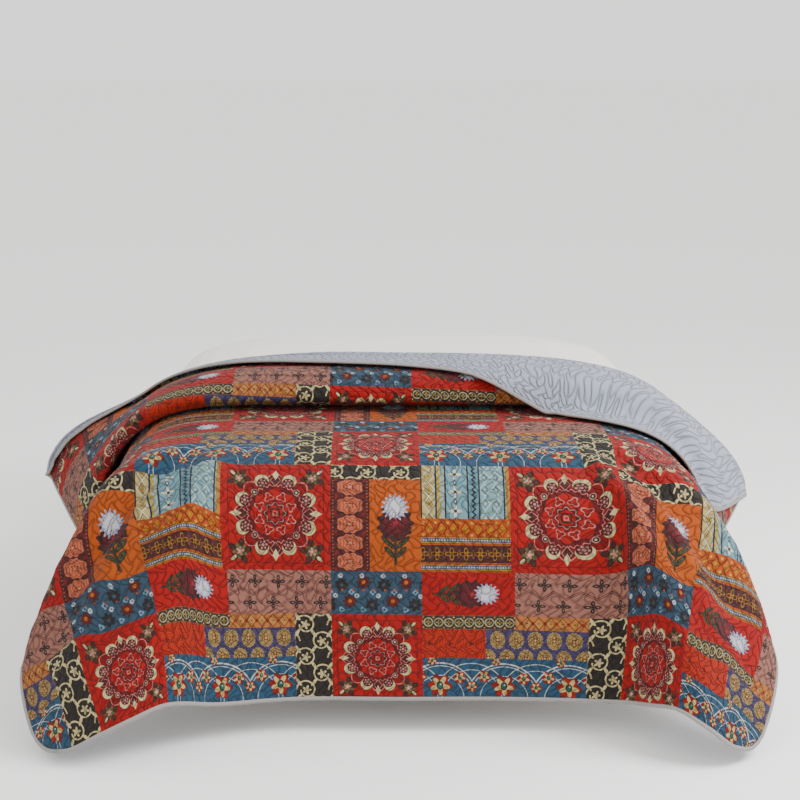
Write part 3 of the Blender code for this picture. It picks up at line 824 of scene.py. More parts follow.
def peony(x, y, ink):
    """Blue ground with pale double arcs that cross, and round flowers between and where they meet."""
    yield None, ink.blue
    for shift, arcs in ((0.0, ((98.0, 3.4), (90.0, 1.8), (64.0, 1.6))), (85.5, ((98.0, 1.8), (80.0, 1.6)))):
        r = reach(repeat(x, 171.0, shift), y + 50.0)
        for radius, line in arcs:
            yield ring(r, radius, line), "#dedcd6"
    for pitch, shift, level, size in (
        (171.0, 0.0, -14.0, 1.0),
        (171.0, 53.0, 12.0, 0.56),
        (171.0, -53.0, 8.0, 0.56),
        (171.0, 85.5, -16.0, 0.5),
        (171.0, 20.0, 55.0, 0.42),
    ):
        cx, cy = repeat(x, pitch, shift) * (1 / size), (y - level) * (1 / size)
        r, a = polar(cx, cy)
        yield petals(r, a, 6, 29.0, 5.0, phase=0.6), "#30101a"
        yield petals(r, a, 6, 27.0, 5.0, phase=0.6), "#a3241c"
        yield petals(r, a, 5, 19.0, 8.0, phase=1.2), "#dcc48e"
        yield within(oval(cx, cy, 18.0, 23.0), 1.0, 0.1), ink.black
        yield within(oval(cx, cy, 12.0, 16.0), 1.0, 0.1), "#1d6a54"
        yield within(reach(cx - 2.0, cy - 3.0), 2.0), "#d8e4d4"


def swirl(x, y, ink):
    """Orange-red ground with darker curling lines."""
    cx, cy = repeat(x, 55.0, 10.0), repeat(y, 44.0)
    r, a = polar(cx, cy)
    wave = sine(r * 0.46 + a * 2.0)
    yield None, "#c8301a"
    yield within(abs(wave), 0.42, 0.3), "#8e170c"
    yield petals(r, a, 3, 5.0, 2.0), "#6e120c"


def ovals(x, y, ink):
    """Purple ground with lacy tan ovals, and a half row beneath."""
    yield None, ink.purple
    for shift, level in ((0.0, 12.0), (25.0, -38.0)):
        cx, cy = repeat(x, 50.0, shift), y - level
        inside, a = oval(cx, cy, 39.0, 48.0), bearing(cx, cy)
        yield within(inside + (a * 16.0).reckon("COSINE") * 0.05, 1.0, 0.08), "#b79a62"
        yield ring(inside + (a * 16.0).reckon("COSINE") * 0.05, 0.82, 0.08, 0.06), "#5d4a3a"
        yield ring(inside + (a * 6.0).reckon("COSINE") * 0.10, 0.55, 0.12, 0.06), "#5a3a34"
        yield within(inside + (a * 4.0).reckon("COSINE") * 0.10, 0.3, 0.1), "#7a3a34"
        yield within(inside, 0.12, 0.08), "#e2cd92"
    spots = reach(repeat(x, 25.0, 12.5), repeat(y, 24.0, 12.0))
    yield both(within(spots, 1.6), within(abs(repeat(x, 50.0, 25.0)), 6.0)), "#a497b8"


def chain(x, y, ink):
    """Dark strip with pale linked rings and small crosses."""
    cx, hx = repeat(x, 27.0), repeat(x, 27.0, 13.5)
    r, edge = reach(cx, y), reach(hx, abs(y) - 14.0)
    yield None, "#25262c"
    yield ring(r, 11.0, 3.0), "#bfb384"
    yield petals(r, bearing(cx, y), 4, 4.5, 3.0), "#b79a58"
    yield within(r, 1.8), "#25262c"
    yield within(reach(hx, y), 3.2), "#8c8f7a"
    yield within(edge, 3.6), "#9a4630"
    yield within(edge, 1.6), "#d8c890"
    yield within(abs(y) * -1.0, -17.6), "#7d6c44"


def lattice(x, y, ink):
    """Peach ground with brown diamonds and tan centres."""
    cx, cy = repeat(x, 31.0), repeat(y, 38.0)
    cell = diamond(cx, cy, 31.0, 38.0)
    cross = diamond(repeat(x, 31.0, 15.5), cy, 10.0, 12.0)
    yield None, "#c08055"
    yield ring(cell, 0.92, 0.16, 0.08), "#6d3420"
    yield within(cell, 0.62, 0.1), "#d9a86e"
    yield ring(cell, 0.42, 0.1, 0.08), "#8c3a24"
    yield within(reach(cx, cy), 2.6), "#6d2418"
    yield within(cross, 1.0, 0.3), "#8c2f20"


def small_flowers(x, y, ink):
    """Slate blue ground, dark-red flowers with orange centres, black blooms, pale bursts and leaves."""
    place = add(x.tree, "ShaderNodeCombineXYZ", (x, y))
    grain = add(x.tree, "ShaderNodeTexNoise", {"Vector": place, "Scale": 0.07, "Detail": 3.0})
    yield None, ink.slate
    yield Field(x.tree, grain) * 0.8, "#3d6078"
    for pitch, shift, level, count, radius, fill, edge, core in (
        (56.0, 10.0, 2.0, 4, 9.0, "#7d9ab2", "#22394c", "#22394c"),
        (56.0, -20.0, -46.0, 3, 9.0, "#7d9ab2", "#22394c", "#22394c"),
        (112.0, -20.0, 22.0, 7, 17.0, "#121118", "#060608", "#3a4654"),
        (112.0, 11.0, -32.0, 7, 17.0, "#121118", "#060608", "#3a4654"),
        (112.0, 34.0, 29.0, 8, 18.0, "#5e1a20", "#1c0d12", "#cf7030"),
        (112.0, 70.0, -23.0, 8, 18.0, "#5e1a20", "#1c0d12", "#cf7030"),
        (56.0, 38.0, 46.0, 8, 6.5, "#c9d3da", "#c9d3da", "#2b4054"),
        (56.0, -4.0, -8.0, 8, 6.5, "#c9d3da", "#c9d3da", "#2b4054"),
        (28.0, 6.0, 8.0, 5, 3.6, "#9a4038", "#9a4038", "#d9a05a"),
    ):
        cx, cy = repeat(x, pitch, shift), y - level
        r, a = polar(cx, cy)
        yield petals(r, a, count, radius * 0.94, radius * 0.16), edge
        yield petals(r, a, count, radius * 0.80, radius * 0.15), fill
        yield within(r, radius * 0.30), core


def plain_blossom(x, y, ground):
    """A plain open blossom on a leafy stem, in dark red with a pale crown of pointed petals."""
    yield None, ground
    yield both(within(abs(x), 4.0), within(abs(y + 60.0), 45.0)), "#2e2412"
    for rise, reach_out in ((-84.0, 30.0), (-62.0, 38.0), (-42.0, 44.0)):
        leaf = oval(abs(x) - reach_out * 0.5, y - rise - abs(x) * 0.8, reach_out, 19.0)
        yield within(leaf, 1.0, 0.12), "#2c2a14"
        yield ring(leaf, 0.45, 0.12, 0.1), "#5d5a30"
    r, a = polar(x, y - 4.0)
    cr, ca = polar(x, y - 46.0)
    yield petals(r, a, 11, 44.0, 6.0), "#3a1018"
    yield petals(r, a, 11, 36.0, 6.0, phase=math.pi), "#57161f"
    yield petals(cr, ca, 16, 31.0, 6.5), "#b9bcd4"
    yield petals(cr, ca, 16, 23.0, 5.0, phase=math.pi), "#e6e6ee"
    yield petal_line(r, a, 11, 24.0, 5.0, width=2.2), "#7c2430"
    yield petals(r, a, 11, 13.0, 3.0), "#7c2430"
    yield within(r, 6.0), "#a34a50"


def blossom(x, y, ink):
    """Orange ground with an upright blossom."""
    return plain_blossom(x, y, ink.orange)


def blossom_sideways(x, y, ink):
    """Red ground with the blossom lying on its side."""
    return plain_blossom(y * -1.25, x * 1.05 - 4.0, ink.red)


def florets(x, y, ink):
    """Dusty pink ground with black florets of four pointed petals, in offset rows between thin zigzags."""
    yield None, ink.dusty
    zig = abs(repeat(x, 65.0, 8.0))
    for level, turn in ((-1.0, 0.6), (4.0, 0.6), (52.0, -0.6), (-56.0, -0.6)):
        yield within(abs(y - level - zig * turn + 10.0 * turn / 0.6), 1.3), "#5a302e"
    for level, shift in ((28.0, 0.0), (-29.0, 16.0)):
        cx, cy = repeat(x, 65.0, shift), y - level
        arms = both(oval(abs(cx) - 10.5, cy, 18.0, 9.5), oval(cx, abs(cy) - 10.0, 9.5, 16.0))
        small = reach(repeat(x, 65.0, shift + 32.5), cy)
        yield within(arms, 1.0, 0.2), "#1c1216"
        yield within(arms, 0.34, 0.2), ink.dusty
        yield within(reach(cx, cy), 2.6), "#1c1216"
        yield ring(small, 4.0, 1.6), "#6a3a36"
        yield within(small, 1.5), "#3a1a1e"


def salmon_column(x, y, ink):
    """Maroon column with lobed salmon ovals, one over another."""
    cy = repeat(y, 49.4)
    a = bearing(x, cy)
    lobed = oval(x, cy, 70.0, 46.0) + (a * 8.0).reckon("COSINE") * 0.07
    six = oval(x, cy, 70.0, 46.0) + (a * 6.0).reckon("COSINE") * 0.10
    dots = reach(abs(x) - 45.0, repeat(y, 9.0))
    knots = diamond(abs(x) - 38.0, repeat(y, 49.4, 24.7), 16.0, 18.0)
    yield None, ink.maroon
    yield within(lobed, 0.98, 0.08), ink.salmon
    yield ring(lobed, 0.78, 0.07, 0.05), "#9a4238"
    yield ring(six, 0.54, 0.08, 0.05), "#a04a3e"
    yield within(six, 0.30, 0.08), "#9c3c34"
    yield within(six, 0.12, 0.06), "#e9b896"
    yield within(knots, 1.0, 0.2), "#7a2a2a"
    yield ring(abs(x), 45.0, 6.0), "#35101a"
    yield within(dots, 2.2), "#b0604a"


def stripes(x, y, ink):
    """Level stripes: orange with gold lozenges, dotted lines, and a maroon band of gold emblems."""
    lozenge_y = y - 43.5
    cell = diamond(repeat(x, 32.0), lozenge_y, 30.0, 44.0)
    yield None, "#c0582a"
    yield ring(cell, 0.92, 0.2, 0.1), "#8c3418"
    yield within(cell, 0.62, 0.1), "#cf8f42"
    yield ring(cell, 0.4, 0.1, 0.08), "#7a2c18"
    yield within(reach(repeat(x, 32.0, 16.0), abs(lozenge_y) - 16.0), 4.0), "#d8a860"
    for level in (14.0, -58.0):
        dots = reach(repeat(x, 7.0), y - level)
        yield within(abs(y - level), 9.0), "#b98a44"
        yield within(abs(y - level), 5.0), "#4c5a78"
        yield within(dots, 2.0), "#d3cdb4"
        yield ring(abs(y - level), 8.6, 1.4), "#5a2416"
    cx, cy = repeat(x, 38.0), y + 22.0
    r, a = polar(cx, cy)
    other = diamond(repeat(x, 38.0, 19.0), cy, 12.0, 30.0)
    yield within(abs(cy), 23.0), "#431319"
    yield petal_line(r, a, 4, 11.5, 4.5, width=2.6), "#b98a44"
    yield petals(r, a, 4, 6.0, 2.5, phase=math.pi), "#a8783a"
    yield within(r, 2.0), "#431319"
    yield ring(other, 0.8, 0.3, 0.2), "#8c5a34"


def columns(x, y, ink):
    """Upright stripes: a diamond chain, a scallop, teal with pale flowers, a zigzag and a fine lattice."""
    # The stripes are measured from the patch's left edge
    left = x + 118.5
    link = diamond(left - 22.0, repeat(y, 40.0), 30.0, 42.0)
    scallop = left - 48.0 + sine(y * (2 * math.pi / 16.0)) * 3.0
    fx, fy = left - 92.0, repeat(y, 52.0, 6.0)
    r, a = polar(fx, fy)
    bud = diamond(fx, repeat(y, 52.0, 32.0), 11.0, 22.0)
    zigzag = left - 137.0 - abs(repeat(y, 15.0)) * 1.1
    mesh = diamond(repeat(left, 30.0, 9.0), repeat(y, 38.0), 30.0, 38.0)
    right = within(left * -1.0, -158.0)
    yield None, ink.teal
    yield within(left, 38.0), "#cbb781"
    yield ring(link, 0.95, 0.18, 0.08), "#efe6c4"
    yield ring(link, 0.72, 0.12, 0.08), "#3a2f20"
    yield within(link, 0.42, 0.1), "#a98a4a"
    yield within(abs(left - 56.0), 11.0), "#a8b8ac"
    yield within(abs(scallop), 3.4), "#cba43a"
    yield within(abs(fx), 29.0), "#7fa9b4"
    yield petals(r, a, 4, 12.0, 7.5), "#ece8d4"
    yield petal_line(r, a, 4, 12.0, 7.5, width=1.4), "#33505c"
    yield within(r, 4.4), "#1d2a30"
    yield within(bud, 1.0, 0.2), "#2c4a56"
    yield within(bud, 0.4, 0.2), "#dfe2d2"
    yield within(abs(left - 142.0), 12.0), "#6f98a8"
    yield within(abs(zigzag), 3.2), "#15161a"
    yield both(right, ring(mesh, 0.95, 0.16, 0.08)), "#dbe4d4"
    yield both(right, ring(mesh, 0.5, 0.12, 0.08)), "#4d7680"
    yield both(right, within(mesh, 0.2, 0.1)), "#e4e2c8"
    for at in (2.0, 41.0, 66.0, 126.0, 156.0, 222.0):
        yield within(abs(left - at), 2.2), "#15161a"
    yield within(left * -1.0, -226.0), "#b98a52"


MOTIFS = (
    medallion,
    peony,
    swirl,
    ovals,
    chain,
    lattice,
    scroll,
    small_flowers,
    blossom_sideways,
    florets,
    salmon_column,
    blossom,
    stripes,
    columns,
)


# Materials


class Inks:
    """The print's main colours, read from the settings."""

    def __init__(self, settings):
        for name in settings.__annotations__:
            setattr(self, name, tuple(getattr(settings, name)))


def patch_place(patches, u, v):
    """The place in whichever of a motif's patches holds this point of the repeat, and a mask of those patches."""
    found = None
    for left, right, low, high, scale in patches:
        x, y = u - (left + right) / 2, v - (low + high) / 2
        inside = both(within(abs(x), (right - left) / 2, 0.8), within(abs(y), (high - low) / 2, 0.8))
        x, y = x * scale, y * scale
        if len(patches) == 1:
            return x, y, inside
        inside = held(inside)
        x, y = x * inside, y * inside
        found = (x, y, inside) if found is None else (found[0] + x, found[1] + y, either(found[2], inside))
    return found


def motif_group(motif, ink):
    """A node group that draws one patch of the print: place in the patch in, colour out."""
    tree = bpy.data.node_groups.new(f"{motif.__name__}_patch", "ShaderNodeTree")
    for name, way, kind in (("Across", "INPUT", "Float"), ("Along", "INPUT", "Float"), ("Colour", "OUTPUT", "Color")):
        tree.interface.new_socket(name, in_out=way, socket_type=f"NodeSocket{kind}")
    x, y = (Field(tree, socket) for socket in tree.nodes.new("NodeGroupInput").outputs[:2])
    drawn = None
    for mask, layer in motif(x, y, ink):
        drawn = layer if mask is None else over(drawn, (mask, layer))
    tree.links.new(drawn, tree.nodes.new("NodeGroupOutput").inputs[0])
    return tree


def new_material(name, roughness, specular):
    """An empty Principled material: itself, its tree and its shader."""
    made = bpy.data.materials.new(name)
    made.use_nodes = True
    shader = made.node_tree.nodes["Principled BSDF"]
    shader.inputs["Roughness"].default_value = roughness
    shader.inputs["Specular IOR Level"].default_value = specular
    return made, made.node_tree, shader


def dress(tree, shader, colour, normal):
    """Join a colour and a normal to the shader."""
    tree.links.new(colour, shader.inputs["Base Color"])
    tree.links.new(normal, shader.inputs["Normal"])


def flat_place(tree):
    """The place on the flat cloth, and its two parts in millimetres."""
    place = add(tree, "ShaderNodeUVMap", uv_map="FlatCloth")
    parts = (Field(tree, add(tree, "ShaderNodeSeparateXYZ", (place,), output=k)) * (1 / MM) for k in range(2))
    return place, *parts


def quilted_relief(tree, place, across, along, depth):
    """The normal of padded cloth between wandering stitches over a fine weave, and two masks for painted shade: how
    low the cloth lies, and where the stitches are."""
    line = abs(quilting(across, along, sine))
    puff = (line * PUFF_GAIN).reckon("MINIMUM", 1.0).reckon("POWER", PUFF_ROUND)
    # The thread drags the cloth into small uneven puckers beside the stitches
    tug = Field(tree, add(tree, "ShaderNodeTexNoise", {"Vector": place, "Scale": 90.0, "Detail": 2.0}))
    # A real thread spacing of 0.4 mm is too fine to show, so the weave is drawn at 1.4 mm
    weave = Field(tree, add(tree, "ShaderNodeTexNoise", {"Vector": place, "Scale": 700.0, "Detail": 1.0}))
    height = puff + tug * 0.45 + weave * 0.05
    normal = add(tree, "ShaderNodeBump", {"Strength": 1.0, "Distance": depth, "Height": height})
    return normal, puff * -1.0 + 1.0, held(within(line, 0.10, 0.12))


def printed_cotton(settings):
    """Plain-woven cotton, printed all over in a patchwork design and quilted: matt, a little faded on its puffs,
    with painted shade in its low valleys and stitch lines."""
    made, tree, shader = new_material("PrintedQuiltedCotton", 0.88, 0.25)
    place, across, along = flat_place(tree)
    ink = Inks(settings)
    # The print runs a little askew on the cloth
    u = (across + (PRINT_SHIFT + SPARE_TILES * TILE_WIDTH) + along * PRINT_TURN) % TILE_WIDTH
    v = (along + (PRINT_RISE + SPARE_TILES * TILE_HEIGHT) + across * PRINT_TURN) % TILE_HEIGHT
    colour = ink.red
    for motif in MOTIFS:
        patches = [patch[1:] for patch in PATCHES if patch[0] == motif.__name__]
        x, y, inside = patch_place(patches, u, v)
        group = tree.nodes.new("ShaderNodeGroup")
        group.node_tree = motif_group(motif, ink)
        tree.links.new(x.socket, group.inputs[0])
        tree.links.new(y.socket, group.inputs[1])
        colour = over(colour, (inside, group.outputs[0]))
    normal, valley_shade, stitch_shade = quilted_relief(tree, place, across, along, PRINTED_RELIEF)
    # Ink sits unevenly on the weave and is rubbed paler on the puffs, and painted shade darkens the
    # valleys and stitch lines
    worn = Field(tree, add(tree, "ShaderNodeTexNoise", {"Vector": place, "Scale": 240.0, "Detail": 3.0}))
    colour = over(
        colour,
        (worn * 0.05, "#e8d8c8"),
        (valley_shade * 0.30, "#120606"),
        (stitch_shade * 0.22, "#200c0a"),
    )
    deep = add(tree, "ShaderNodeHueSaturation", {"Saturation": PRINT_STRENGTH, "Value": PRINT_VALUE, "Color": colour})
    dress(tree, shader, deep, normal)
    shader.inputs["Sheen Weight"].default_value = 0.03
    return made


def reverse_cotton(colour):
    """Plain grey cotton on the quilt's reverse: matt, softly puffed by the same stitching, with painted shade in
    its valleys and stitch lines.
    """
    made, tree, shader = new_material("GreyReverseCotton", 0.9, 0.2)
    place, across, along = flat_place(tree)
    normal, valley_shade, stitch_shade = quilted_relief(tree, place, across, along, REVERSE_RELIEF)
    cloud = Field(tree, add(tree, "ShaderNodeTexNoise", {"Vector": place, "Scale": 9.0, "Detail": 2.0}))
    # Painted shade darkens the valleys between the puffs and the stitch lines
    shaded = over(
        tuple(colour),
        (cloud * 0.35, "#767b89"),
        (valley_shade * 0.34, "#4a4e5a"),
        (stitch_shade * 0.22, "#50545f"),
    )
    dress(tree, shader, shaded, normal)
    shader.inputs["Sheen Weight"].default_value = 0.1
    return made


def binding_cotton(colour):
    """Folded grey cotton strip: matt, with fine slanting creases."""
    made, tree, shader = new_material("GreyBindingCotton", 0.85, 0.25)
    place, around, aside = flat_place(tree)
    grain = Field(tree, add(tree, "ShaderNodeTexNoise", {"Vector": place, "Scale": 260.0, "Detail": 2.0}))
    crease = sine(around * 0.35 + aside * 0.4 + grain * 3.0)
    shaded = over(tuple(colour), (grain * 0.6, "#7f7a78"))
    height = grain * 0.4 + crease * 0.35
    creased = add(tree, "ShaderNodeBump", {"Strength": 0.5, "Distance": 0.0008, "Height": height})
    dress(tree, shader, shaded, creased)
    return made


def stitching_thread(colour):
    """Spun cotton sewing thread: matt, and a shade paler than the strip that it holds."""
    made, _, shader = new_material("CottonThread", 0.8, 0.3)
    shader.inputs["Base Color"].default_value = tuple(colour)
    return made


def mattress_cotton(colour):
    """White knitted mattress cover: matt, with a fine grain and faint soft wrinkles."""
    made, tree, shader = new_material("WhiteMattressCover", 0.92, 0.25)
    place = add(tree, "ShaderNodeTexCoord", output="Object")
    cloud = Field(tree, add(tree, "ShaderNodeTexNoise", {"Vector": place, "Scale": 3.0, "Detail": 3.0}))
    weave = Field(tree, add(tree, "ShaderNodeTexNoise", {"Vector": place, "Scale": 420.0, "Detail": 2.0}))
    shaded = over(tuple(colour), (cloud, "#dedbd6"))
    height = cloud * 4.0 + weave * 0.25
    wrinkled = add(tree, "ShaderNodeBump", {"Strength": 0.5, "Distance": 0.002, "Height": height})
    dress(tree, shader, shaded, wrinkled)
    shader.inputs["Sheen Weight"].default_value = 0.1
    return made


def painted_wood(colour):
    """Painted wooden board: a low satin with a faint brushed grain."""
    made, tree, shader = new_material("PaintedWoodBase", 0.5, 0.5)
    place = add(tree, "ShaderNodeTexCoord", output="Object")
    stretched = add(tree, "ShaderNodeMapping", {"Vector": place, "Scale": (4.0, 90.0, 90.0)})
    grain = Field(tree, add(tree, "ShaderNodeTexNoise", {"Vector": stretched, "Scale": 1.0, "Detail": 3.0}))
    shaded = over(tuple(colour), (grain, "#a59f96"))
    brushed = add(tree, "ShaderNodeBump", {"Strength": 0.3, "Distance": 0.0006, "Height": grain})
    dress(tree, shader, shaded, brushed)
    return made


def studio_paper(colour):
    """Pale seamless studio paper: matt and even."""
    made, _, shader = new_material("PaleStudioPaper", 0.9, 0.2)
    shader.inputs["Base Color"].default_value = tuple(colour)
    return made


# What a user can change


def metres(name, description, value, low, high):
    """A setting for a size in metres."""
    return FloatProperty(name=name, description=description, default=value, min=low, max=high, unit="LENGTH")


def swatch(name, description, code):
    """A setting for a colour."""
    return FloatVectorProperty(
        name=name, description=description, default=linear(code), size=4, min=0.0, max=1.0, subtype="COLOR"
    )


def watts(name, description, value):
    """A setting for a light's power in watts."""
    return FloatProperty(name=name, description=description, default=value, min=0.0, unit="POWER")


class ClothSettings(bpy.types.PropertyGroup):
    """Sizes of the quilted cloth, and the colour of its reverse."""

    thickness: metres("Thickness", "Thickness of the quilted cloth", SHEET_THICKNESS, 0.001, 0.01)
    puff: metres("Puff height", "How high the cloth puffs between stitches", PUFF_HEIGHT, 0.0, 0.004)
    pucker: metres("Pucker height", "How far the cloth rises and falls over a hand", PUCKER_HEIGHT, 0.0, 0.006)
    reverse: swatch("Reverse", "Colour of the plain reverse", "#8d919e")


class PrintSettings(bpy.types.PropertyGroup):
    """Main colours of the print."""

    red: swatch("Red", "Ground of the medallions and of the red patches", "#b41a1c")
    maroon: swatch("Maroon", "Ground of the oval column and of the medallions' shadows", "#4f141a")
    orange: swatch("Orange", "Ground of the upright blossom patches", "#c65a1f")
    salmon: swatch("Salmon", "Lobed ovals", "#cf8068")
    pink: swatch("Pink", "Fine scrolls of the medallions", "#d3928a")
    dusty: swatch("Dusty pink", "Ground of the floret patches", "#a8766a")
    cream: swatch("Cream", "Crescents, spears and vines", "#e3d4a2")
    black: swatch("Black", "Ground of the vine patches", "#17110f")
    blue: swatch("Blue", "Ground of the arc strip", "#28536f")
    slate: swatch("Slate", "Ground of the small flowers", "#22394c")
    purple: swatch("Purple", "Ground of the tan ovals", "#433a62")
    teal: swatch("Teal", "Ground of the upright stripes", "#86abb2")


class BindingSettings(bpy.types.PropertyGroup):
    """Sizes and colours of the binding and its stitches."""

    width: metres("Width", "Width of the sewn strip", BINDING_WIDTH, 0.005, 0.02)
    thickness: metres("Thickness", "Thickness of the sewn strip", BINDING_THICKNESS, 0.004, 0.012)
    stitch_length: metres("Stitch length", "Length of one stitch", 0.0032, 0.001, 0.01)
    stitch_width: metres("Stitch width", "Thickness of the sewing thread", 0.0007, 0.0002, 0.002)
    stitch_spacing: metres("Stitch spacing", "From one stitch to the next", 0.0045, 0.002, 0.02)
    strip: swatch("Strip", "Colour of the sewn strip", "#85817f")
    thread: swatch("Thread", "Colour of the sewing thread", "#b4b1b2")


class BedSettings(bpy.types.PropertyGroup):
    """Colours of the bed."""

    cover: swatch("Mattress cover", "Colour of the mattress cover", "#eceae6")
    paint: swatch("Base", "Colour of the painted base", "#b9b4ac")


class StudioSettings(bpy.types.PropertyGroup):
    """Light and floor."""

    key_power: watts("Key light", "Power of the large light at the upper right", 230.0)
    fill_power: watts("Fill light", "Power of the broad light in front", 45.0)
    sky: FloatProperty(name="Ambient", description="Strength of the light from all round", default=1.5, min=0.0)
    floor: swatch("Floor", "Colour of the studio paper", "#fbfaf9")


def cloth_shell(settings):
    """The cloth's grid, flat places and normals, and the points of its printed face and of its reverse."""
    grid, flat = cloth_grid()
    normals = grid_normals(grid)
    across, along = flat[:, :, 0], flat[:, :, 1]
    edge = np.minimum.reduce(
        [np.abs(across - across[:, :1]), np.abs(across - across[:, -1:]), along, along[-1:] - along]
    )
    inner = np.clip(edge / EDGE_FADE, 0.0, 1.0)
    line = np.abs(quilting(across / MM, along / MM, np.sin))
    puffs = np.clip(line * PUFF_GAIN, 0.0, 1.0) ** PUFF_ROUND * settings.puff * inner
    # The cloth waves where it hangs. Under and in the roll its layers lie too near for that
    over_side = (np.abs(across) - LEVEL_HALF_WIDTH) * (along < SLIP_FROM)
    hanging = np.maximum(DROP_LENGTH - along, over_side) / HANGING_FADE
    puckers = pucker_field(flat) * settings.pucker * inner * np.clip(hanging, 0.0, 1.0)
    half = settings.thickness / 2
    face = grid + normals * (half + puffs + puckers)[:, :, None]
    back = grid + normals * (puckers - half - puffs * REVERSE_PUFF)[:, :, None]
    return grid, flat, normals, face, back


def bar_profile(settings):
    """The section of the folded strip round the cloth's edge, as (aside, height) points."""
    turns = np.linspace(0.0, 2 * math.pi, BINDING_SIDES, endpoint=False)
    return [
        (
            settings.width * (0.5 + 0.5 * math.cos(turn)) - BINDING_OVERLAP,
            settings.thickness / 2 * math.copysign(abs(math.sin(turn)) ** BINDING_ROUND, math.sin(turn)),
        )
        for turn in turns
    ]


def edge_frames(grid, normals):
    """Places along the cloth's edge: the point, the direction out of the cloth and the direction off its face."""
    # Every second point is close enough for the strip
    walk = edge_walk(*grid.shape[:2])[::2]
    frames = []
    for k, spot in enumerate(walk):
        here, before, after = grid[spot], grid[walk[k - 1]], grid[walk[(k + 1) % len(walk)]]
        run = unit(unit(after - here) + unit(here - before))
        frames.append((here, unit(np.cross(run, normals[spot])), normals[spot]))
    return frames


def cloth_edge():
    """The places along the cloth's edge, which the cloth's operator keeps."""
    if not EDGE:
        raise RuntimeError("The quilted cloth has to be made first")
    return EDGE


def stitch_tree():
    """A node tree that sets small thread stitches along a path of edges."""
    tree = bpy.data.node_groups.new("TopstitchRow", "GeometryNodeTree")
    tree.interface.new_socket("Geometry", in_out="OUTPUT", socket_type="NodeSocketGeometry")
    for name, kind in (
        ("Path", "NodeSocketGeometry"),
        ("Stitch length", "NodeSocketFloat"),
        ("Stitch width", "NodeSocketFloat"),
        ("Stitch spacing", "NodeSocketFloat"),
        ("Thread", "NodeSocketMaterial"),
    ):
        tree.interface.new_socket(name, in_out="INPUT", socket_type=kind)
    path, stitch_length, stitch_width, spacing, thread = tree.nodes.new("NodeGroupInput").outputs[:5]
    curve = add(tree, "GeometryNodeMeshToCurve", (path,))
    points = add(tree, "GeometryNodeCurveToPoints", {"Curve": curve, "Length": spacing}, mode="LENGTH")
    turned = points.node.outputs["Rotation"]
    bead = add(tree, "GeometryNodeMeshUVSphere", {"Segments": 5, "Rings": 3, "Radius": 0.5})
    size = add(tree, "ShaderNodeCombineXYZ", (stitch_width, stitch_width, stitch_length))
    placed = add(
        tree, "GeometryNodeInstanceOnPoints", {"Points": points, "Instance": bead, "Rotation": turned, "Scale": size}
    )
    real = add(tree, "GeometryNodeRealizeInstances", (placed,))
    dressed = add(tree, "GeometryNodeSetMaterial", {"Geometry": real, "Material": thread})
    tree.links.new(dressed, tree.nodes.new("NodeGroupOutput").inputs[0])
    return tree


class BEDSPREAD_OT_cloth(bpy.types.Operator):
    """Make the quilted cloth with its printed face and its grey reverse"""

    bl_idname = "bedspread.cloth"
    bl_label = "Quilted cloth"

    def execute(self, context):
        settings = context.scene.bedspread_cloth
        grid, flat, normals, face, back = cloth_shell(settings)
        rows, columns = grid.shape[:2]
        count = rows * columns
        i, j = np.meshgrid(np.arange(rows - 1), np.arange(columns - 1), indexing="ij")
        a = (i * columns + j).ravel()
        front_faces = np.stack([a, a + 1, a + columns + 1, a + columns], axis=1)
        back_faces = front_faces[:, [0, 3, 2, 1]] + count
        walk = np.array([i * columns + j for i, j in edge_walk(rows, columns)])
        after = np.roll(walk, -1)
        edge_faces = np.stack([after, walk, walk + count, after + count], axis=1)
        faces = np.concatenate([front_faces, back_faces, edge_faces]).tolist()
        looks = [0] * len(front_faces) + [1] * (len(back_faces) + len(edge_faces))
        vertices = np.concatenate([face.reshape(-1, 3), back.reshape(-1, 3)])
        uvs = np.concatenate([flat.reshape(-1, 2), flat.reshape(-1, 2)])
        materials = (printed_cotton(context.scene.bedspread_print), reverse_cotton(settings.reverse))
        piece = mesh_object("quilted_cloth", vertices, faces, materials, uvs=uvs, face_materials=looks)
        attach(piece, "root")
        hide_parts("bedspread")
        EDGE[:] = edge_frames(grid, normals)
        return {"FINISHED"}


class BEDSPREAD_OT_binding(bpy.types.Operator):
    """Make the folded strip that is sewn round the cloth's edge"""

    bl_idname = "bedspread.binding"
    bl_label = "Binding"

    def execute(self, context):
        settings = context.scene.bedspread_binding
        edge, profile = cloth_edge(), bar_profile(settings)
        vertices, uvs, far = [], [], 0.0
        for k, (here, out, off) in enumerate(edge):
            far += float(np.linalg.norm(here - edge[k - 1][0])) if k else 0.0
            for aside, height in profile:
                vertices.append(here + out * aside + off * height)
                uvs.append((far, aside))
        faces = []
        for k in range(len(edge)):
            here, there = k * BINDING_SIDES, (k + 1) % len(edge) * BINDING_SIDES
            for m in range(BINDING_SIDES):
                n = (m + 1) % BINDING_SIDES
                faces.append((here + m, there + m, there + n, here + n))
        piece = mesh_object("bound_edge", vertices, faces, (binding_cotton(settings.strip),), uvs=uvs)
        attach(piece, "root")
        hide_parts("binding")
        return {"FINISHED"}


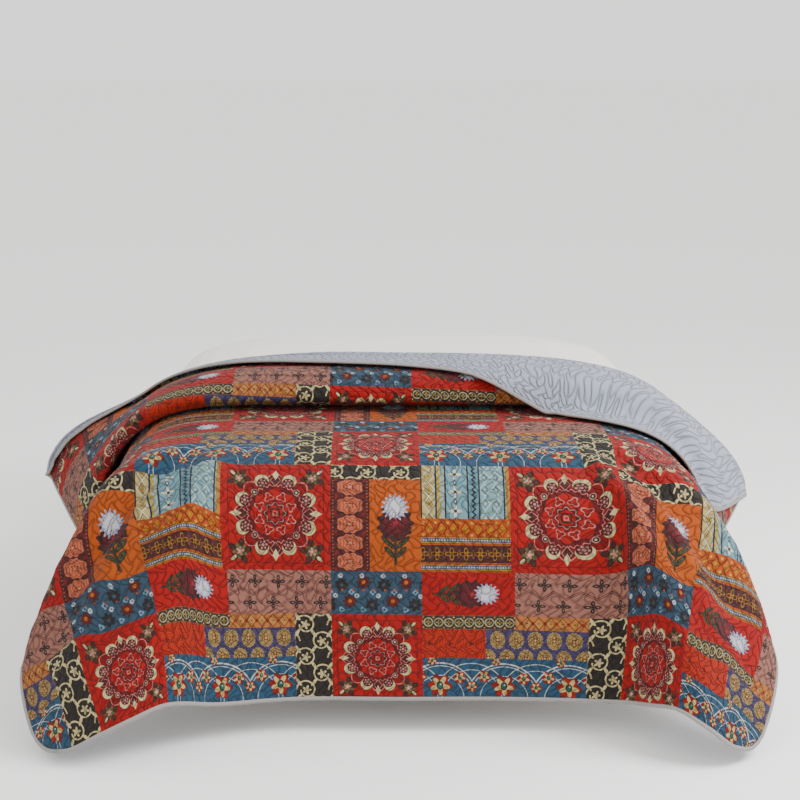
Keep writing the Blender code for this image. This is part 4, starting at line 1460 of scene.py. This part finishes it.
class BEDSPREAD_OT_stitches(bpy.types.Operator):
    """Sew the strip down with a row of stitches on each face"""

    bl_idname = "bedspread.stitches"
    bl_label = "Binding stitches"

    def execute(self, context):
        settings = context.scene.bedspread_binding
        edge, vertices, links = cloth_edge(), [], []
        lift = settings.thickness / 2 * STITCH_LIFT
        for height in (lift, -lift):
            start = len(vertices)
            vertices += [tuple(here + out * STITCH_ASIDE + off * height) for here, out, off in edge]
            links += [(start + k, start + (k + 1) % len(edge)) for k in range(len(edge))]
        mesh = bpy.data.meshes.new("stitch_path")
        mesh.from_pydata(vertices, links, [])
        path = put_in_scene("stitch_path", mesh)
        tree = stitch_tree()
        modifier = path.modifiers.new("Stitches", "NODES")
        modifier.node_group = tree
        values = {
            "Stitch length": settings.stitch_length,
            "Stitch width": settings.stitch_width,
            "Stitch spacing": settings.stitch_spacing,
            "Thread": stitching_thread(settings.thread),
        }
        for item in tree.interface.items_tree:
            if item.in_out == "INPUT" and item.name in values:
                modifier[item.identifier] = values[item.name]
        evaluated = path.evaluated_get(context.evaluated_depsgraph_get())
        sewn = bpy.data.meshes.new_from_object(evaluated)
        path.modifiers.remove(modifier)
        bpy.data.objects.remove(path)
        sewn.name = "binding_stitches"
        piece = put_in_scene("binding_stitches", sewn)
        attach(piece, "root")
        return {"FINISHED"}


class BEDSPREAD_OT_bed(bpy.types.Operator):
    """Give the mattress and the base their finishes"""

    bl_idname = "bedspread.bed"
    bl_label = "Mattress and base"

    def execute(self, context):
        settings = context.scene.bedspread_bed
        for name, look in (("mattress", mattress_cotton(settings.cover)), ("bed_base", painted_wood(settings.paint))):
            for slot in bpy.data.objects[name].material_slots:
                slot.material = look
        return {"FINISHED"}


class BEDSPREAD_OT_studio(bpy.types.Operator):
    """Set up the pale floor, the soft lights and the camera"""

    bl_idname = "bedspread.studio"
    bl_label = "Studio"

    def execute(self, context):
        settings = context.scene.bedspread_studio
        far = FLOOR_REACH
        corners = [(-far, -far, 0), (far, -far, 0), (far, far, 0), (-far, far, 0)]
        floor = mesh_object("studio_floor", corners, [(0, 1, 2, 3)], (studio_paper(settings.floor),))

        world = bpy.data.worlds.new("StudioAir")
        world.use_nodes = True
        air = world.node_tree.nodes["Background"]
        air.inputs["Color"].default_value = linear("#fdfcfb")
        air.inputs["Strength"].default_value = settings.sky
        context.scene.world = world

        for name, power, size, place, target in (
            ("key_light", settings.key_power, 1.8, (2.9, -1.5, 3.2), (0.0, -0.5, 0.6)),
            ("fill_light", settings.fill_power, 3.5, (-2.2, -4.4, 2.4), (0.0, -0.7, 0.4)),
        ):
            lamp = bpy.data.lights.new(name, "AREA")
            lamp.energy = power
            lamp.size = size
            made = put_in_scene(name, lamp)
            made.location = place
            made.rotation_euler = (Vector(target) - Vector(place)).to_track_quat("-Z", "Y").to_euler()

        view = bpy.data.cameras.new("photo_camera")
        view.sensor_width = 36.0
        view.lens = CAMERA_LENS
        made = put_in_scene("photo_camera", view)
        made.location = CAMERA_PLACE
        made.rotation_euler = (math.radians(CAMERA_TILT), 0.0, 0.0)
        context.scene.camera = made
        return {"FINISHED"}


class BEDSPREAD_PT_panel(bpy.types.Panel):
    """Lists the bedspread's pieces, sizes and colours"""

    bl_idname = "BEDSPREAD_PT_panel"
    bl_label = "Quilted bedspread"
    bl_space_type = "VIEW_3D"
    bl_region_type = "UI"
    bl_category = "Bedspread"

    def draw(self, context):
        for group, place in GROUPS.items():
            for name in group.__annotations__:
                self.layout.prop(getattr(context.scene, place), name)
        for operator in OPERATORS:
            self.layout.operator(operator.bl_idname)


GROUPS = {
    ClothSettings: "bedspread_cloth",
    PrintSettings: "bedspread_print",
    BindingSettings: "bedspread_binding",
    BedSettings: "bedspread_bed",
    StudioSettings: "bedspread_studio",
}
OPERATORS = (
    BEDSPREAD_OT_cloth,
    BEDSPREAD_OT_binding,
    BEDSPREAD_OT_stitches,
    BEDSPREAD_OT_bed,
    BEDSPREAD_OT_studio,
)


def register():
    """Add the settings, operators and panel."""
    for group, name in GROUPS.items():
        bpy.utils.register_class(group)
        setattr(bpy.types.Scene, name, PointerProperty(type=group))
    for kind in (*OPERATORS, BEDSPREAD_PT_panel):
        bpy.utils.register_class(kind)


def unregister():
    """Take the settings, operators and panel away again."""
    for kind in (BEDSPREAD_PT_panel, *reversed(OPERATORS)):
        bpy.utils.unregister_class(kind)
    for group, name in GROUPS.items():
        delattr(bpy.types.Scene, name)
        bpy.utils.unregister_class(group)


def main():
    """Make every piece."""
    register()
    bpy.ops.bedspread.cloth()
    bpy.ops.bedspread.binding()
    bpy.ops.bedspread.stitches()
    bpy.ops.bedspread.bed()
    bpy.ops.bedspread.studio()


if __name__ == "__main__":
    main()
